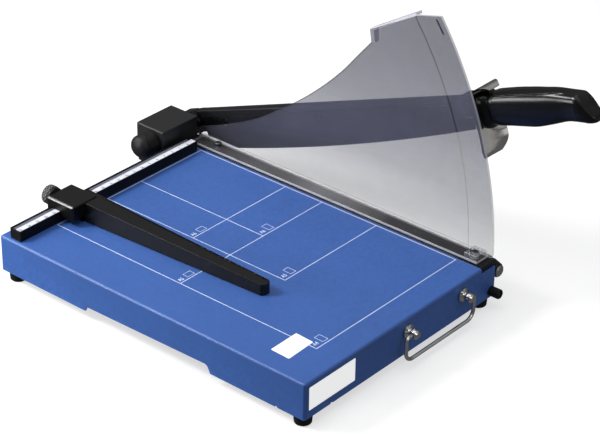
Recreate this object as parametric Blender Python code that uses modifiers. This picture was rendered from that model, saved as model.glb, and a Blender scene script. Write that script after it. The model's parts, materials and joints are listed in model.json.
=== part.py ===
"""Guillotine paper cutter for A4 sheets.

A folded sheet-metal table with a fence rail, a sliding side stop, a fixed lower
knife, a pivoting blade arm with a hand guard and grip, and a smoked clear shield
whose foot clamps the paper.

Drawing frame used below, in millimetres:
  X = 0 is the cutting plane, +X points away from the table,
  Y = 0 is the face of the fence, -Y points to the user,
  Z = 0 is the table top.
The whole assembly hangs on one empty that carries it to the part's own frame,
whose origin is the centre of the footprint at desk level.
"""

import math

import bmesh
import bpy
from mathutils import Matrix, Vector

MM = 0.001

# ---------------------------------------------------------------- dimensions
FRAME_SHIFT = (111.6, 176.4, 43.2)      # drawing frame -> part frame

TABLE_X = (-255.5, -2.3)                # outside of the folded tray
TABLE_Y = (-323.4, 23.6)
SKIRT_Z = -34.4
SHEET = 1.5
FOOT_R, FOOT_Z = 8.0, -43.2
FEET = {"front_left": (-246.6, -314.6), "front_right": (-13.5, -314.6),
        "rear_left": (-246.6, 12.0), "rear_right": (-13.5, 12.0)}

BAR_X = (-23.2, -2.3)                   # black bar between table and knife
BAR_Y = (-317.4, 23.3)
BAR_Z = (-6.0, -0.2)
KNIFE_X = (-2.0, -0.1)
KNIFE_Z = (-16.0, 0.0)

RAIL_X = (-252.5, -29.0)
RAIL_Y = (0.0, 13.0)
RAIL_Z = (0.3, 10.5)

STOP_X = (-205.0, -174.5)               # block that straddles the rail
STOP_RULE_X = -169.2                    # ruling edge of the stop's arm
STOP_TOP = 20.0
STOP_END_Y = -213.8
KNOB_X, KNOB_Z = -194.0, 14.4

PIVOT_Y, PIVOT_Z = 30.0, 11.5           # axis of the blade arm, along X
ARM_REST = 21.0                         # degrees above the table
ARM_X = (2.3, 12.3)
ARM_TOP = 7.3                           # above the pivot axis, square to the arm
BLADE_X = (0.3, 2.1)

WALL_X = (-7.0, -4.5)                   # upright wall of the shield
FOOT_X = (-22.5, -4.5)
CLAMP_Z = (1.5, 4.0)                    # paper clamp, open
CREASE = (37.3, -1.0, 333.2)            # centre Y, centre Z, radius
OUTER = (40.7, -1.1, 361.9)

GRIP_X = 14.5                           # centre of the grip
GUARD_X = (1.0, 32.0)

BAIL_Y, BAIL_Z = -331.0, -12.3          # axis of the carrying bail, along X
BAIL_WIRE = 1.7
STUD_X = {"left": -125.6, "right": -50.6}

BUFFER = (-9.0, -27.8)                  # X, Z of the rubber buffer


# ------------------------------------------------------------------- scene
for old in list(bpy.data.objects):
    bpy.data.objects.remove(old, do_unlink=True)

PARTS = bpy.data.collections.new("guillotine_paper_cutter")
CUTTERS = bpy.data.collections.new("cutters")
for collection in (PARTS, CUTTERS):
    bpy.context.scene.collection.children.link(collection)
CUTTERS.hide_render = True


def srgb(r, g, b):
    def linear(c):
        c /= 255.0
        return c / 12.92 if c <= 0.04045 else ((c + 0.055) / 1.055) ** 2.4
    return (linear(r), linear(g), linear(b), 1.0)


def material(name, colour, roughness, metallic=0.0, alpha=1.0):
    made = bpy.data.materials.new(name)
    made.use_nodes = True
    shader = made.node_tree.nodes["Principled BSDF"]
    shader.inputs["Base Color"].default_value = colour
    shader.inputs["Roughness"].default_value = roughness
    shader.inputs["Metallic"].default_value = metallic
    shader.inputs["Alpha"].default_value = alpha
    made.diffuse_color = colour[:3] + (alpha,)
    return made


BLUE = material("blue_powder_coat", srgb(70, 102, 170), 0.45)
BLACK_COAT = material("black_powder_coat", srgb(34, 34, 37), 0.5)
BLACK_STEEL = material("blackened_steel", srgb(40, 41, 45), 0.35, 1.0)
STEEL = material("bright_steel", srgb(185, 185, 188), 0.3, 1.0)
KNIFE_STEEL = material("ground_knife_steel", srgb(120, 122, 126), 0.28, 1.0)
BRASS = material("brass", srgb(180, 150, 90), 0.35, 1.0)
NICKEL = material("nickel_plate", srgb(165, 163, 156), 0.22, 1.0)
BLACK_PLASTIC = material("black_plastic", srgb(30, 31, 33), 0.42)
GRIP_PLASTIC = material("grip_plastic", srgb(18, 21, 25), 0.35)
RUBBER = material("black_rubber", srgb(20, 20, 22), 0.8)
SMOKED = material("smoked_clear_plastic", srgb(120, 120, 128), 0.08, 0.0, 0.45)
SCALE = material("white_scale", srgb(225, 226, 232), 0.4)
BRONZE = material("bush_bronze", srgb(150, 110, 70), 0.4, 1.0)
SPRING = material("spring_steel", srgb(140, 140, 145), 0.3, 1.0)


# ------------------------------------------------------------------- frames
def empty(name, parent, location=(0, 0, 0), rotation=(0, 0, 0)):
    made = bpy.data.objects.new(name, None)
    made.empty_display_size = 0.02
    PARTS.objects.link(made)
    made.parent = parent
    made.location = Vector(location) * MM
    made.rotation_euler = [math.radians(a) for a in rotation]
    return made


FRAME = empty("assembly_frame", None, FRAME_SHIFT)
ARM = empty("arm_axis", FRAME, (0, PIVOT_Y, PIVOT_Z), (-ARM_REST, 0, 0))
CLAMP = empty("clamp_frame", FRAME)
STOP = empty("stop_frame", FRAME)
KNOB = empty("knob_axis", STOP, (KNOB_X, 21.0, KNOB_Z))
BAIL = empty("bail_axis", FRAME, (0, BAIL_Y, BAIL_Z))

# an object's local Z axis turned along X or Y of its frame
ALONG = {"X": (0, 90, 0), "Y": (-90, 0, 0), "Z": (0, 0, 0)}
# a flat outline drawn in local XY, stood up in a plane of its frame
PLANE = {"YZ": (90, 0, 90), "XZ": (90, 0, 0), "XY": (0, 0, 0)}


def link(name, data, mat, parent, location, rotation=(0, 0, 0), cutter=False):
    made = bpy.data.objects.new(name, data)
    (CUTTERS if cutter else PARTS).objects.link(made)
    made.parent = parent
    made.location = Vector(location) * MM
    made.rotation_euler = [math.radians(a) for a in rotation]
    if cutter:
        made.hide_render = True
        made.display_type = "WIRE"
    elif mat is not None:
        data.materials.append(mat)
    return made


def smooth(mesh, angle=35):
    mesh.shade_smooth()
    mesh.set_sharp_from_angle(angle=math.radians(angle))


def box(name, x, y, z, mat, parent=None, bevel=0.0, segments=1, cutter=False, edges=None):
    """A box from corner to corner, its edges broken by a bevel."""
    size = Vector((x[1] - x[0], y[1] - y[0], z[1] - z[0]))
    centre = Vector((x[0] + x[1], y[0] + y[1], z[0] + z[1])) / 2
    bm = bmesh.new()
    bmesh.ops.create_cube(bm, size=1.0)
    bmesh.ops.scale(bm, vec=size * MM, verts=bm.verts)
    if bevel:
        picked = [e for e in bm.edges if edges is None or edges(e)]
        bmesh.ops.bevel(bm, geom=picked, offset=bevel * MM, segments=segments,
                        profile=0.5, affect="EDGES")
    mesh = bpy.data.meshes.new(name)
    bm.to_mesh(mesh)
    bm.free()
    return link(name, mesh, mat, parent or FRAME, centre, cutter=cutter)


def rod(name, axis, centre, radius, span, mat, parent=None, segments=24, cutter=False, r2=None):
    """A round bar along one axis, from span[0] to span[1]."""
    bm = bmesh.new()
    bmesh.ops.create_cone(bm, cap_ends=True, cap_tris=False, segments=segments,
                          radius1=radius * MM, radius2=(radius if r2 is None else r2) * MM,
                          depth=(span[1] - span[0]) * MM)
    mesh = bpy.data.meshes.new(name)
    bm.to_mesh(mesh)
    bm.free()
    smooth(mesh)
    middle = (span[0] + span[1]) / 2
    place = {"X": (middle, *centre), "Y": (centre[0], middle, centre[1]), "Z": (*centre, middle)}
    return link(name, mesh, mat, parent or FRAME, place[axis], ALONG[axis], cutter)


def turned(name, profile, axis, centre, mat, parent=None, steps=24, closed=False, cutter=False):
    """A turned piece. The profile is (radius, position along the axis), run down
    the outer side from the far end to the near end."""
    bm = bmesh.new()
    verts = [bm.verts.new((r * MM, 0.0, a * MM)) for r, a in profile]
    for first, second in zip(verts, verts[1:] + (verts[:1] if closed else [])):
        bm.edges.new((first, second))
    mesh = bpy.data.meshes.new(name)
    bm.to_mesh(mesh)
    bm.free()
    place = {"X": (0, *centre), "Y": (centre[0], 0, centre[1]), "Z": (*centre, 0)}[axis]
    made = link(name, mesh, mat, parent or FRAME, place, ALONG[axis], cutter)
    screw = made.modifiers.new("turn", "SCREW")
    screw.axis = "Z"
    screw.steps = screw.render_steps = steps
    screw.use_merge_vertices = True
    screw.merge_threshold = 0.00005
    screw.use_smooth_shade = True
    return made


def evaluated_mesh(made):
    """The object's mesh with its modifiers applied, as a new mesh object."""
    bpy.context.view_layer.update()
    graph = bpy.context.evaluated_depsgraph_get()
    mesh = bpy.data.meshes.new_from_object(made.evaluated_get(graph), depsgraph=graph)
    bm = bmesh.new()
    bm.from_mesh(mesh)
    bmesh.ops.remove_doubles(bm, verts=bm.verts, dist=1e-7)
    bmesh.ops.recalc_face_normals(bm, faces=bm.faces)
    bm.to_mesh(mesh)
    bm.free()
    return mesh


def solidified(made, cutter=False):
    """Turns a curve into a welded mesh object that Booleans can work on."""
    mesh = evaluated_mesh(made)
    name, parent, matrix = made.name, made.parent, made.matrix_basis.copy()
    bpy.data.objects.remove(made, do_unlink=True)
    mesh.name = name
    solid = bpy.data.objects.new(name, mesh)
    (CUTTERS if cutter else PARTS).objects.link(solid)
    solid.parent = parent
    solid.matrix_basis = matrix
    if cutter:
        solid.hide_render = True
        solid.display_type = "WIRE"
    return solid


def plate(name, loops, plane, span, mat, parent=None, cutter=False):
    """A flat outline with its holes, as thick as span, standing in a plane."""
    curve = bpy.data.curves.new(name, "CURVE")
    curve.dimensions = "2D"
    curve.fill_mode = "BOTH"
    curve.extrude = (span[1] - span[0]) / 2 * MM
    for points in loops:
        spline = curve.splines.new("POLY")
        spline.points.add(len(points) - 1)
        for point, (u, v) in zip(spline.points, points):
            point.co = (u * MM, v * MM, 0.0, 1.0)
        spline.use_cyclic_u = True
    middle = (span[0] + span[1]) / 2
    place = {"YZ": (middle, 0, 0), "XZ": (0, middle, 0), "XY": (0, 0, middle)}[plane]
    made = link(name, curve, mat, parent or FRAME, place, PLANE[plane], cutter)
    return solidified(made, cutter)


def wire(name, points, radius, mat, parent=None, resolution=2):
    """A round wire through points."""
    curve = bpy.data.curves.new(name, "CURVE")
    curve.dimensions = "3D"
    curve.bevel_depth = radius * MM
    curve.bevel_resolution = resolution
    curve.use_fill_caps = True
    spline = curve.splines.new("POLY")
    spline.points.add(len(points) - 1)
    for point, place in zip(spline.points, points):
        point.co = (*(Vector(place) * MM), 1.0)
    made = link(name, curve, mat, parent or FRAME, (0, 0, 0))
    return made


def boolean(made, other, operation="DIFFERENCE"):
    step = made.modifiers.new(operation.lower(), "BOOLEAN")
    step.operation = operation
    step.object = other
    step.solver = "EXACT"
    return step


def circle(centre, radius, count, start=0.0, end=360.0):
    whole = abs(end - start) >= 360
    steps = count if whole else count - 1
    return [(centre[0] + radius * math.cos(math.radians(start + (end - start) * i / steps)),
             centre[1] + radius * math.sin(math.radians(start + (end - start) * i / steps)))
            for i in range(count)]


def rounded(points, radius, steps=4):
    """A closed outline with its corners rounded; radius may be one for each corner."""
    out = []
    count = len(points)
    for i, corner in enumerate(points):
        r = radius[i] if isinstance(radius, (list, tuple)) else radius
        here = Vector(corner)
        if not r:
            out.append(tuple(here))
            continue
        before = (Vector(points[i - 1]) - here).normalized()
        after = (Vector(points[(i + 1) % count]) - here).normalized()
        half = before.angle(after) / 2
        back = r / math.tan(half)
        centre = here + (before + after).normalized() * (r / math.sin(half))
        first, last = here + before * back - centre, here + after * back - centre
        turn = first.angle_signed(last)
        for k in range(steps + 1):
            a = -turn * k / steps
            out.append((centre.x + first.x * math.cos(a) - first.y * math.sin(a),
                        centre.y + first.x * math.sin(a) + first.y * math.cos(a)))
    return out


def spring(name, axis, centre, mean_radius, wire_radius, span, turns, mat, parent=None, per_turn=12):
    """A compression spring along one axis."""
    points = []
    low, high = span[0] + wire_radius, span[1] - wire_radius
    total = int(turns * per_turn)
    for i in range(total + 1):
        a = 2 * math.pi * i / per_turn
        along = low + (high - low) * i / total
        u, v = mean_radius * math.cos(a), mean_radius * math.sin(a)
        points.append({"X": (along, centre[0] + u, centre[1] + v),
                       "Y": (centre[0] + u, along, centre[1] + v),
                       "Z": (centre[0] + u, centre[1] + v, along)}[axis])
    return wire(name, points, wire_radius, mat, parent, 1)


def hexagon(radius, turn=0.0):
    return circle((0, 0), radius, 6, turn, turn + 360)


# ---------------------------------------------------------------- base tray
def upright_or_top(edge):
    a, b = edge.verts[0].co, edge.verts[1].co
    return abs(a.z - b.z) > 1e-6 or (a.z > 0 and b.z > 0)


tray = box("base_tray", TABLE_X, TABLE_Y, (SKIRT_Z, 0.0), BLUE, bevel=2.2, segments=3,
           edges=upright_or_top)
inner_x = (TABLE_X[0] + SHEET, TABLE_X[1] - SHEET)
inner_y = (TABLE_Y[0] + SHEET, TABLE_Y[1] - SHEET)
boolean(tray, box("cut_inside", (inner_x[0], BAR_X[0] - 1.8), inner_y, (SKIRT_Z + SHEET, -SHEET),
                  None, bevel=1.0, cutter=True, edges=upright_or_top))
boolean(tray, box("cut_inside_under_bar", (BAR_X[0] - 4, inner_x[1]), inner_y,
                  (SKIRT_Z + SHEET, BAR_Z[0] - 0.3 - SHEET), None, cutter=True))
boolean(tray, box("cut_mouth", inner_x, inner_y, (SKIRT_Z - 2, SKIRT_Z + SHEET + 0.5), None,
                  bevel=27.0, cutter=True,
                  edges=lambda e: abs(e.verts[0].co.z - e.verts[1].co.z) > 1e-6))
boolean(tray, box("cut_bar_seat", (BAR_X[0] - 0.3, 5), (TABLE_Y[0] - 5, TABLE_Y[1] + 5),
                  (BAR_Z[0] - 0.3, 5), None, cutter=True))
SIDE_OPENING = rounded([(-225.5, SKIRT_Z - 5), (-219.5, SKIRT_Z + 7.4), (-81.5, SKIRT_Z + 4.6),
                        (-77.5, SKIRT_Z - 5)], [0, 4.0, 1.5, 0])
boolean(tray, plate("cut_side_opening", [SIDE_OPENING], "YZ", (TABLE_X[0] - 3, TABLE_X[0] + 3),
                    None, cutter=True))
for number, (x, y) in enumerate(((TABLE_X[0], -293.8), (-221.8, TABLE_Y[0]))):
    boolean(tray, rod(f"cut_relief_{number}", "X" if number == 0 else "Y",
                      (y, SKIRT_Z) if number == 0 else (x, SKIRT_Z), 1.3,
                      (x - 3, x + 3) if number == 0 else (y - 3, y + 3), None,
                      segments=12, cutter=True))
# the open corner seam where the two folded skirts meet
boolean(tray, box("cut_corner_seam", (TABLE_X[0] + 2.4, TABLE_X[0] + 2.8), (TABLE_Y[0] - 1, TABLE_Y[0] + 0.7),
                  (SKIRT_Z - 1, -2.4), None, cutter=True))
for label, (x, y) in FEET.items():
    boolean(tray, rod(f"cut_foot_hole_{label}", "Z", (x, y), 2.2, (SKIRT_Z - 3, SKIRT_Z + 4), None,
                      segments=16, cutter=True))
BAR_SCREWS = (-245.0, -75.0)
for y in BAR_SCREWS:
    boolean(tray, rod("cut_bar_screw", "Z", (-13.0, y), 2.1, (-12, -3), None, segments=16, cutter=True))
FENCE_SCREWS = (-228.0, -62.0)
for x in FENCE_SCREWS:
    boolean(tray, rod("cut_fence_screw", "Z", (x, 4.0), 2.1, (-6, 3), None, segments=16, cutter=True))
KNIFE_SCREWS = (-282.0, -147.0, -12.0)
for y in KNIFE_SCREWS:
    boolean(tray, rod("cut_knife_screw", "X", (y, -11.2), 2.0, (-8, 2), None, segments=16, cutter=True))
for label, x in STUD_X.items():
    boolean(tray, rod(f"cut_stud_{label}", "Y", (x, BAIL_Z), 2.4, (TABLE_Y[0] - 4, TABLE_Y[0] + 4), None,
                      segments=16, cutter=True))
boolean(tray, rod("cut_buffer", "Y", BUFFER, 1.9, (TABLE_Y[0] - 4, TABLE_Y[0] + 4), None,
                  segments=16, cutter=True))
BRACKET_BOLTS = (-43.0, -22.0)
for x in BRACKET_BOLTS:
    boolean(tray, rod("cut_bracket_bolt", "Y", (x, -20.0), 2.9, (18, 28), None, segments=16, cutter=True))

# --------------------------------------------------------------------- feet
for label, (x, y) in FEET.items():
    turned(f"foot_{label}", [(2.3, SKIRT_Z - 0.3), (7.4, SKIRT_Z - 0.3), (FOOT_R, SKIRT_Z - 0.9),
                             (7.4, FOOT_Z + 0.8), (6.7, FOOT_Z), (4.3, FOOT_Z),
                             (4.3, FOOT_Z + 3.6), (2.3, FOOT_Z + 3.6)],
           "Z", (x, y), RUBBER, closed=True, steps=24)
    turned(f"foot_screw_{label}", [(0, SKIRT_Z + 5.5), (1.85, SKIRT_Z + 5.5), (1.85, FOOT_Z + 3.2), (3.7, FOOT_Z + 3.2),
                                   (3.7, FOOT_Z + 1.9), (2.6, FOOT_Z + 1.2), (0, FOOT_Z + 1.2)],
           "Z", (x, y), STEEL, steps=16)

# ------------------------------------------------- bed bar and fixed knife
bar = box("bed_bar", BAR_X, BAR_Y, BAR_Z, BLACK_COAT, bevel=0.4)
GUIDES = {"front": (-13.5, -308.0), "rear": (-13.5, -12.0)}
for label, spot in GUIDES.items():
    boolean(bar, rod(f"cut_spring_pocket_{label}", "Z", spot, 3.9, (-4.3, 2), None, segments=20, cutter=True))
    boolean(bar, rod(f"cut_guide_thread_{label}", "Z", spot, 1.95, (-8, -3), None, segments=16, cutter=True))
for y in BAR_SCREWS:
    boolean(bar, rod("cut_bar_thread", "Z", (-13.0, y), 1.95, (-8, -2.2), None, segments=16, cutter=True))
for number, y in enumerate(BAR_SCREWS, 1):
    turned(f"bar_screw_{number}", [(0, -2.6), (1.6, -2.6), (1.6, -8.1), (3.4, -8.1), (3.4, -9.6),
                                   (2.4, -10.2), (0, -10.2)], "Z", (-13.0, y), STEEL, steps=16)

knife = box("fixed_knife", KNIFE_X, BAR_Y, KNIFE_Z, KNIFE_STEEL)
for y in KNIFE_SCREWS:
    boolean(knife, rod("cut_countersink", "X", (y, -11.2), 1.9, (-2.4, -0.05), None, segments=20,
                       cutter=True, r2=3.75))
    boolean(knife, rod("cut_knife_hole", "X", (y, -11.2), 2.0, (-4, 0.5), None, segments=20, cutter=True))
for number, y in enumerate(KNIFE_SCREWS, 1):
    turned(f"knife_screw_{number}", [(0, -0.25), (2.9, -0.25), (1.55, -1.7), (1.55, -9.0), (0, -9.0)],
           "X", (y, -11.2), BLACK_STEEL, steps=16)

# end plate at the knife's front end, with the stud the arm comes down beside
END_PLATE = [(BAR_X[0], -0.2), (-1.2, -0.2), (8.6, -9.9)] \
    + circle((4.6, -15.0), 6.3, 9, 42.0, -135.0) + [(-0.1, -17.0), (-0.1, -6.0), (BAR_X[0], -6.0)]
plate("arm_stop_plate", [END_PLATE, circle((4.6, -15.0), 3.3, 20)], "XZ", (-321.3, -317.7), BLACK_COAT)
turned("stop_stud", [(0, -317.8), (3.0, -317.8), (3.0, -321.6), (5.4, -321.6), (5.4, -322.5), (4.4, -323.3),
                     (0, -323.6)], "Y", (4.6, -15.0), STEEL, steps=24)

# --------------------------------------------------------------- fence rail
rail = box("fence_rail", RAIL_X, RAIL_Y, RAIL_Z, BLACK_COAT, bevel=0.35)
boolean(rail, box("cut_rail_groove", (-251.6, -29.9), (7.5, 11.7), (5.8, 15), None, cutter=True))
boolean(rail, box("cut_scale_seat", (-251.9, -29.6), (0.7, 7.0), (9.9, 15), None, cutter=True))
for x in FENCE_SCREWS:
    boolean(rail, rod("cut_rail_thread", "Z", (x, 4.0), 1.95, (-2, 6.5), None, segments=16, cutter=True))
box("scale_strip", (RAIL_X[0] + 0.9, RAIL_X[1] - 0.9), (1.0, 6.7), (10.2, 10.65), SCALE)
for number, x in enumerate(FENCE_SCREWS, 1):
    turned(f"fence_screw_{number}", [(0, 6.1), (1.6, 6.1), (1.6, -1.8), (3.4, -1.8), (3.4, -3.3),
                                     (2.4, -3.9), (0, -3.9)], "Z", (x, 4.0), STEEL, steps=16)

# ---------------------------------------------------------------- side stop
stop = box("side_stop", STOP_X, (-16.0, 16.8), (0.4, STOP_TOP), BLACK_PLASTIC, STOP, bevel=1.6, segments=2)
bm = bmesh.new()
bmesh.ops.create_cube(bm, size=1.0)
for vert in bm.verts:
    far = vert.co.y < 0
    left = vert.co.x < 0
    top = vert.co.z > 0
    vert.co = Vector((((-180.3 if far else -191.3) if left else STOP_RULE_X) + (0.0 if not top or not left else 0.6),
                      STOP_END_Y if far else -1.0,
                      (10.6 if far else 19.2) if top else 0.4)) * MM
corner = [e for e in bm.edges if e.verts[0].co.y < -0.2 and e.verts[1].co.y < -0.2
          and abs(e.verts[0].co.z - e.verts[1].co.z) > 0.001]
bmesh.ops.bevel(bm, geom=corner, offset=4.0 * MM, segments=3, profile=0.5, affect="EDGES")
ruling = [e for e in bm.edges if min(v.co.z for v in e.verts) > 0.005
          and max(abs(v.co.x / MM - STOP_RULE_X) for v in e.verts) < 0.01]
bmesh.ops.bevel(bm, geom=ruling, offset=2.8 * MM, segments=2, profile=0.5, affect="EDGES")
rim = [e for e in bm.edges if e.is_valid and min(v.co.z for v in e.verts) > 0.005
       and max(v.co.x / MM for v in e.verts) < -173.5]
bmesh.ops.bevel(bm, geom=rim, offset=1.0 * MM, segments=2, profile=0.5, affect="EDGES")
mesh = bpy.data.meshes.new("stop_arm")
bm.to_mesh(mesh)
bm.free()
boolean(stop, link("stop_arm", mesh, None, STOP, (0, 0, 0), cutter=True), "UNION")
boolean(stop, box("cut_stop_channel", (-215, -160), (-0.5, 13.4), (-5, 10.95), None, STOP, cutter=True))
boolean(stop, box("stop_tongue", (-187.0, -177.0), (7.9, 10.5), (6.3, 12.5), None, STOP, cutter=True), "UNION")
boolean(stop, box("cut_shoe_seat", (KNOB_X - 5.0, KNOB_X + 5.0), (7.5, 12.6), (5.0, 18.7), None, STOP, cutter=True))
boolean(stop, box("cut_stop_corner", (-215, -191.6), (-25, -0.4), (-5, 6.0), None, STOP, cutter=True))
nut_seat = plate("cut_nut_seat", [hexagon(4.5, 30)], "XZ", (12.0, 15.6), None, STOP, cutter=True)
nut_seat.location += Vector((KNOB_X, 0, KNOB_Z)) * MM
boolean(stop, nut_seat)
boolean(stop, rod("cut_stop_screw", "Y", (KNOB_X, KNOB_Z), 2.4, (12, 20), None, STOP, segments=16, cutter=True))

box("stop_shoe", (KNOB_X - 4.6, KNOB_X + 4.6), (7.95, 10.3), (6.3, 18.3), BRASS, STOP)
nut = plate("stop_nut", [hexagon(4.1, 30), circle((0, 0), 2.25, 16)], "XZ", (13.45, 15.3), BRASS, STOP)
nut.location += Vector((KNOB_X, 0, KNOB_Z)) * MM

FLUTES = 26
knob_outline = []
for i in range(FLUTES * 3):
    reach = 8.9 if i % 3 != 2 else 8.3
    a = 2 * math.pi * i / (FLUTES * 3)
    knob_outline.append((reach * math.cos(a), reach * math.sin(a)))
knob = plate("stop_knob", [knob_outline], "XZ", (-1.3, 5.4), BLACK_PLASTIC, KNOB)
boolean(knob, rod("knob_flange", "Y", (0, 0), 8.4, (-3.8, -0.8), None, KNOB, segments=32, cutter=True), "UNION")
boolean(knob, rod("cut_knob_bore", "Y", (0, 0), 2.3, (-6.0, 3.0), None, KNOB, segments=16, cutter=True))
turned("stop_screw", [(0, 2.6), (1.5, 2.6), (1.9, 2.2), (1.9, -9.9), (1.5, -10.3), (0, -10.3)],
       "Y", (0, 0), STEEL, KNOB, steps=16)

# ----------------------------------------------------------- pivot assembly
bracket = box("pivot_bracket", (-51.6, -13.2), (18.3, 44.0), (1.0, 22.3), BLACK_COAT, bevel=0.8)
boolean(bracket, box("bracket_flange", (-51.6, -13.2), (23.9, 28.4), (-31.0, 3.0), None, cutter=True), "UNION")
boolean(bracket, rod("cut_shaft_bore", "X", (PIVOT_Y, PIVOT_Z), 5.35, (-70, 0), None, segments=32, cutter=True))
for x in BRACKET_BOLTS:
    boolean(bracket, rod("cut_bracket_hole", "Y", (x, -20.0), 2.9, (20, 31), None, segments=16, cutter=True))
for number, x in enumerate(BRACKET_BOLTS, 1):
    bolt = plate(f"bracket_bolt_{number}", [hexagon(4.9)], "XZ", (28.7, 32.4), STEEL)
    bolt.location += Vector((x, 0, -20.0)) * MM
    boolean(bolt, rod(f"bolt_shank_{number}", "Y", (x, -20.0), 2.5, (15.0, 29.6), None, segments=16,
                      cutter=True), "UNION")

cover = box("pivot_cover", (-58.5, -11.5), (15.5, 49.5), (0.4, 25.0), BLACK_PLASTIC, bevel=1.4, segments=2,
            edges=upright_or_top)
boolean(cover, box("cut_cover_inside", (-57.1, -12.9), (16.9, 48.1), (-4, 23.6), None, cutter=True))
boolean(cover, rod("cut_cover_spring_hole", "X", (PIVOT_Y, PIVOT_Z), 9.0, (-62, -50), None, segments=32, cutter=True))
boolean(cover, rod("cut_cover_shaft_hole", "X", (PIVOT_Y, PIVOT_Z), 6.5, (-20, -5), None, segments=32, cutter=True))

cap_profile = [(11.0, -58.9), (11.0, -72.8)]
cap_profile += [(11.0 * math.cos(a), -72.8 - 7.2 * math.sin(a))
                for a in [math.radians(15 * i) for i in range(1, 6)]]
cap_profile += [(0.0, -80.0), (0.0, -78.2)]
cap_profile += [(9.5 * math.cos(a), -72.4 - 5.8 * math.sin(a))
                for a in [math.radians(15 * i) for i in range(5, 0, -1)]]
cap_profile += [(9.5, -72.4), (9.5, -58.9)]
cap = turned("pivot_cap", cap_profile, "X", (PIVOT_Y, PIVOT_Z), BLACK_PLASTIC, closed=True, steps=32)
boolean(cap, box("cap_skirt", (-71.0, -59.2), (24.4, 35.6), (-4.5, 1.4), None, cutter=True), "UNION")

turned("pivot_shaft", [(0, 16.6), (5.6, 16.6), (6.6, 15.4), (6.6, 12.7), (5.0, 12.7), (5.0, -71.9), (4.4, -72.6),
                       (0, -72.6)], "X", (PIVOT_Y, PIVOT_Z), STEEL, steps=32)
spring("pivot_spring", "X", (PIVOT_Y, PIVOT_Z), 7.2, 0.9, (-64.0, -51.9), 4.5, SPRING)
turned("spring_washer", [(8.9, -64.3), (8.9, -65.5), (5.35, -65.5), (5.35, -64.3)], "X",
       (PIVOT_Y, PIVOT_Z), STEEL, closed=True)
pivot_nut = plate("pivot_nut", [hexagon(8.6), circle((0, 0), 5.35, 24)], "YZ", (-71.3, -65.9), STEEL)
pivot_nut.location += Vector((0, PIVOT_Y, PIVOT_Z)) * MM

# ---------------------------------------------------------------- blade arm
# in the arm's own frame: -Y along the arm to the grip, Z square to it
ARM_OUTLINE = rounded([(22.0, ARM_TOP), (22.0, -13.5), (-180.0, -12.0), (-329.5, -9.0), (-329.5, ARM_TOP)],
                      [8.0, 5.0, 0, 0, 0], 5)
arm = plate("blade_arm", [ARM_OUTLINE, circle((0, 0), 7.6, 32)], "YZ", ARM_X, BLACK_COAT, ARM)
boolean(arm, box("arm_tang", (6.4, 12.0), (-428.0, -328.0), (-8.0, 1.0), None, ARM, cutter=True), "UNION")
boolean(arm, rod("cut_tang_thread", "Y", (9.2, -3.5), 2.05, (-440, -410), None, ARM, segments=16, cutter=True))
BLADE_SCREWS = (40.0, 160.0, 280.0)
for s in BLADE_SCREWS:
    boolean(arm, rod("cut_arm_thread", "X", (-s, -4.0), 2.0, (0, 8.5), None, ARM, segments=16, cutter=True))
turned("arm_bush", [(7.3, ARM_X[1]), (7.3, ARM_X[0]), (5.3, ARM_X[0]), (5.3, ARM_X[1])], "X", (0, 0), BRONZE, ARM,
       closed=True, steps=32)


def blade_edge(s):
    """Height of the cutting edge below the pivot axis, at a distance along the arm."""
    return -31.2 + 2.35e-4 * (s - 118.0) ** 2


BLADE = [(-11.5, 2.0), (-11.5, blade_edge(11.5) + 3)]
BLADE += [(-s, blade_edge(s)) for s in [14.0 + 323.0 * i / 40 for i in range(41)]]
BLADE += [(-337.0, -9.9), (-327.8, -9.9), (-327.8, 2.0)]
blade = plate("cutting_blade", [BLADE], "YZ", BLADE_X, KNIFE_STEEL, ARM)
for s in BLADE_SCREWS:
    boolean(blade, rod("cut_blade_sink", "X", (-s, -4.0), 3.9, (0.25, 2.15), None, ARM, segments=20,
                       cutter=True, r2=2.1))
    boolean(blade, rod("cut_blade_hole", "X", (-s, -4.0), 2.1, (-1, 4), None, ARM, segments=20, cutter=True))
for number, s in enumerate(BLADE_SCREWS, 1):
    turned(f"blade_screw_{number}", [(0, 8.0), (1.6, 8.0), (1.6, 1.9), (3.1, 0.45), (0, 0.45)], "X",
           (-s, -4.0), STEEL, ARM, steps=16)

# The cam turns with the arm and holds the shield up while the blade is off the paper.
CAM_LOBE = [(-190, 7.0), (-172, 8.6), (-158, 9.65), (-150, 9.75), (-138.5, 9.2), (-123, 8.5), (-113, 8.05),
            (-100, 7.4), (-90, 7.0), (170, 7.0)]


def cam_radius(angle):
    for (a, r), (b, s) in zip(CAM_LOBE, CAM_LOBE[1:]):
        if a <= angle <= b:
            return r + (s - r) * (angle - a) / (b - a)
    return CAM_LOBE[-1][1]


CAM = [(cam_radius(a) * math.cos(math.radians(a)), cam_radius(a) * math.sin(math.radians(a)))
       for a in range(-190, 170, 6)]
cam = plate("lift_cam", [CAM], "YZ", (-3.7, 1.9), BLACK_STEEL, ARM)
boolean(cam, rod("cut_cam_bore", "X", (0, 0), 5.35, (-6, 4), None, ARM, segments=32, cutter=True))


# ------------------------------------------------- collar, guard and grip
def ring(bm, centre, half, radius, s, count=24):
    """One rounded-rectangle section of a loft, square to the arm at distance s."""
    verts = []
    for i in range(count):
        a = 2 * math.pi * (i + 0.5) / count
        c, d = math.cos(a), math.sin(a)
        power = 2.0 / radius
        verts.append(bm.verts.new(Vector((
            centre[0] + half[0] * math.copysign(abs(c) ** power, c), -s,
            centre[1] + half[1] * math.copysign(abs(d) ** power, d))) * MM))
    return verts


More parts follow.
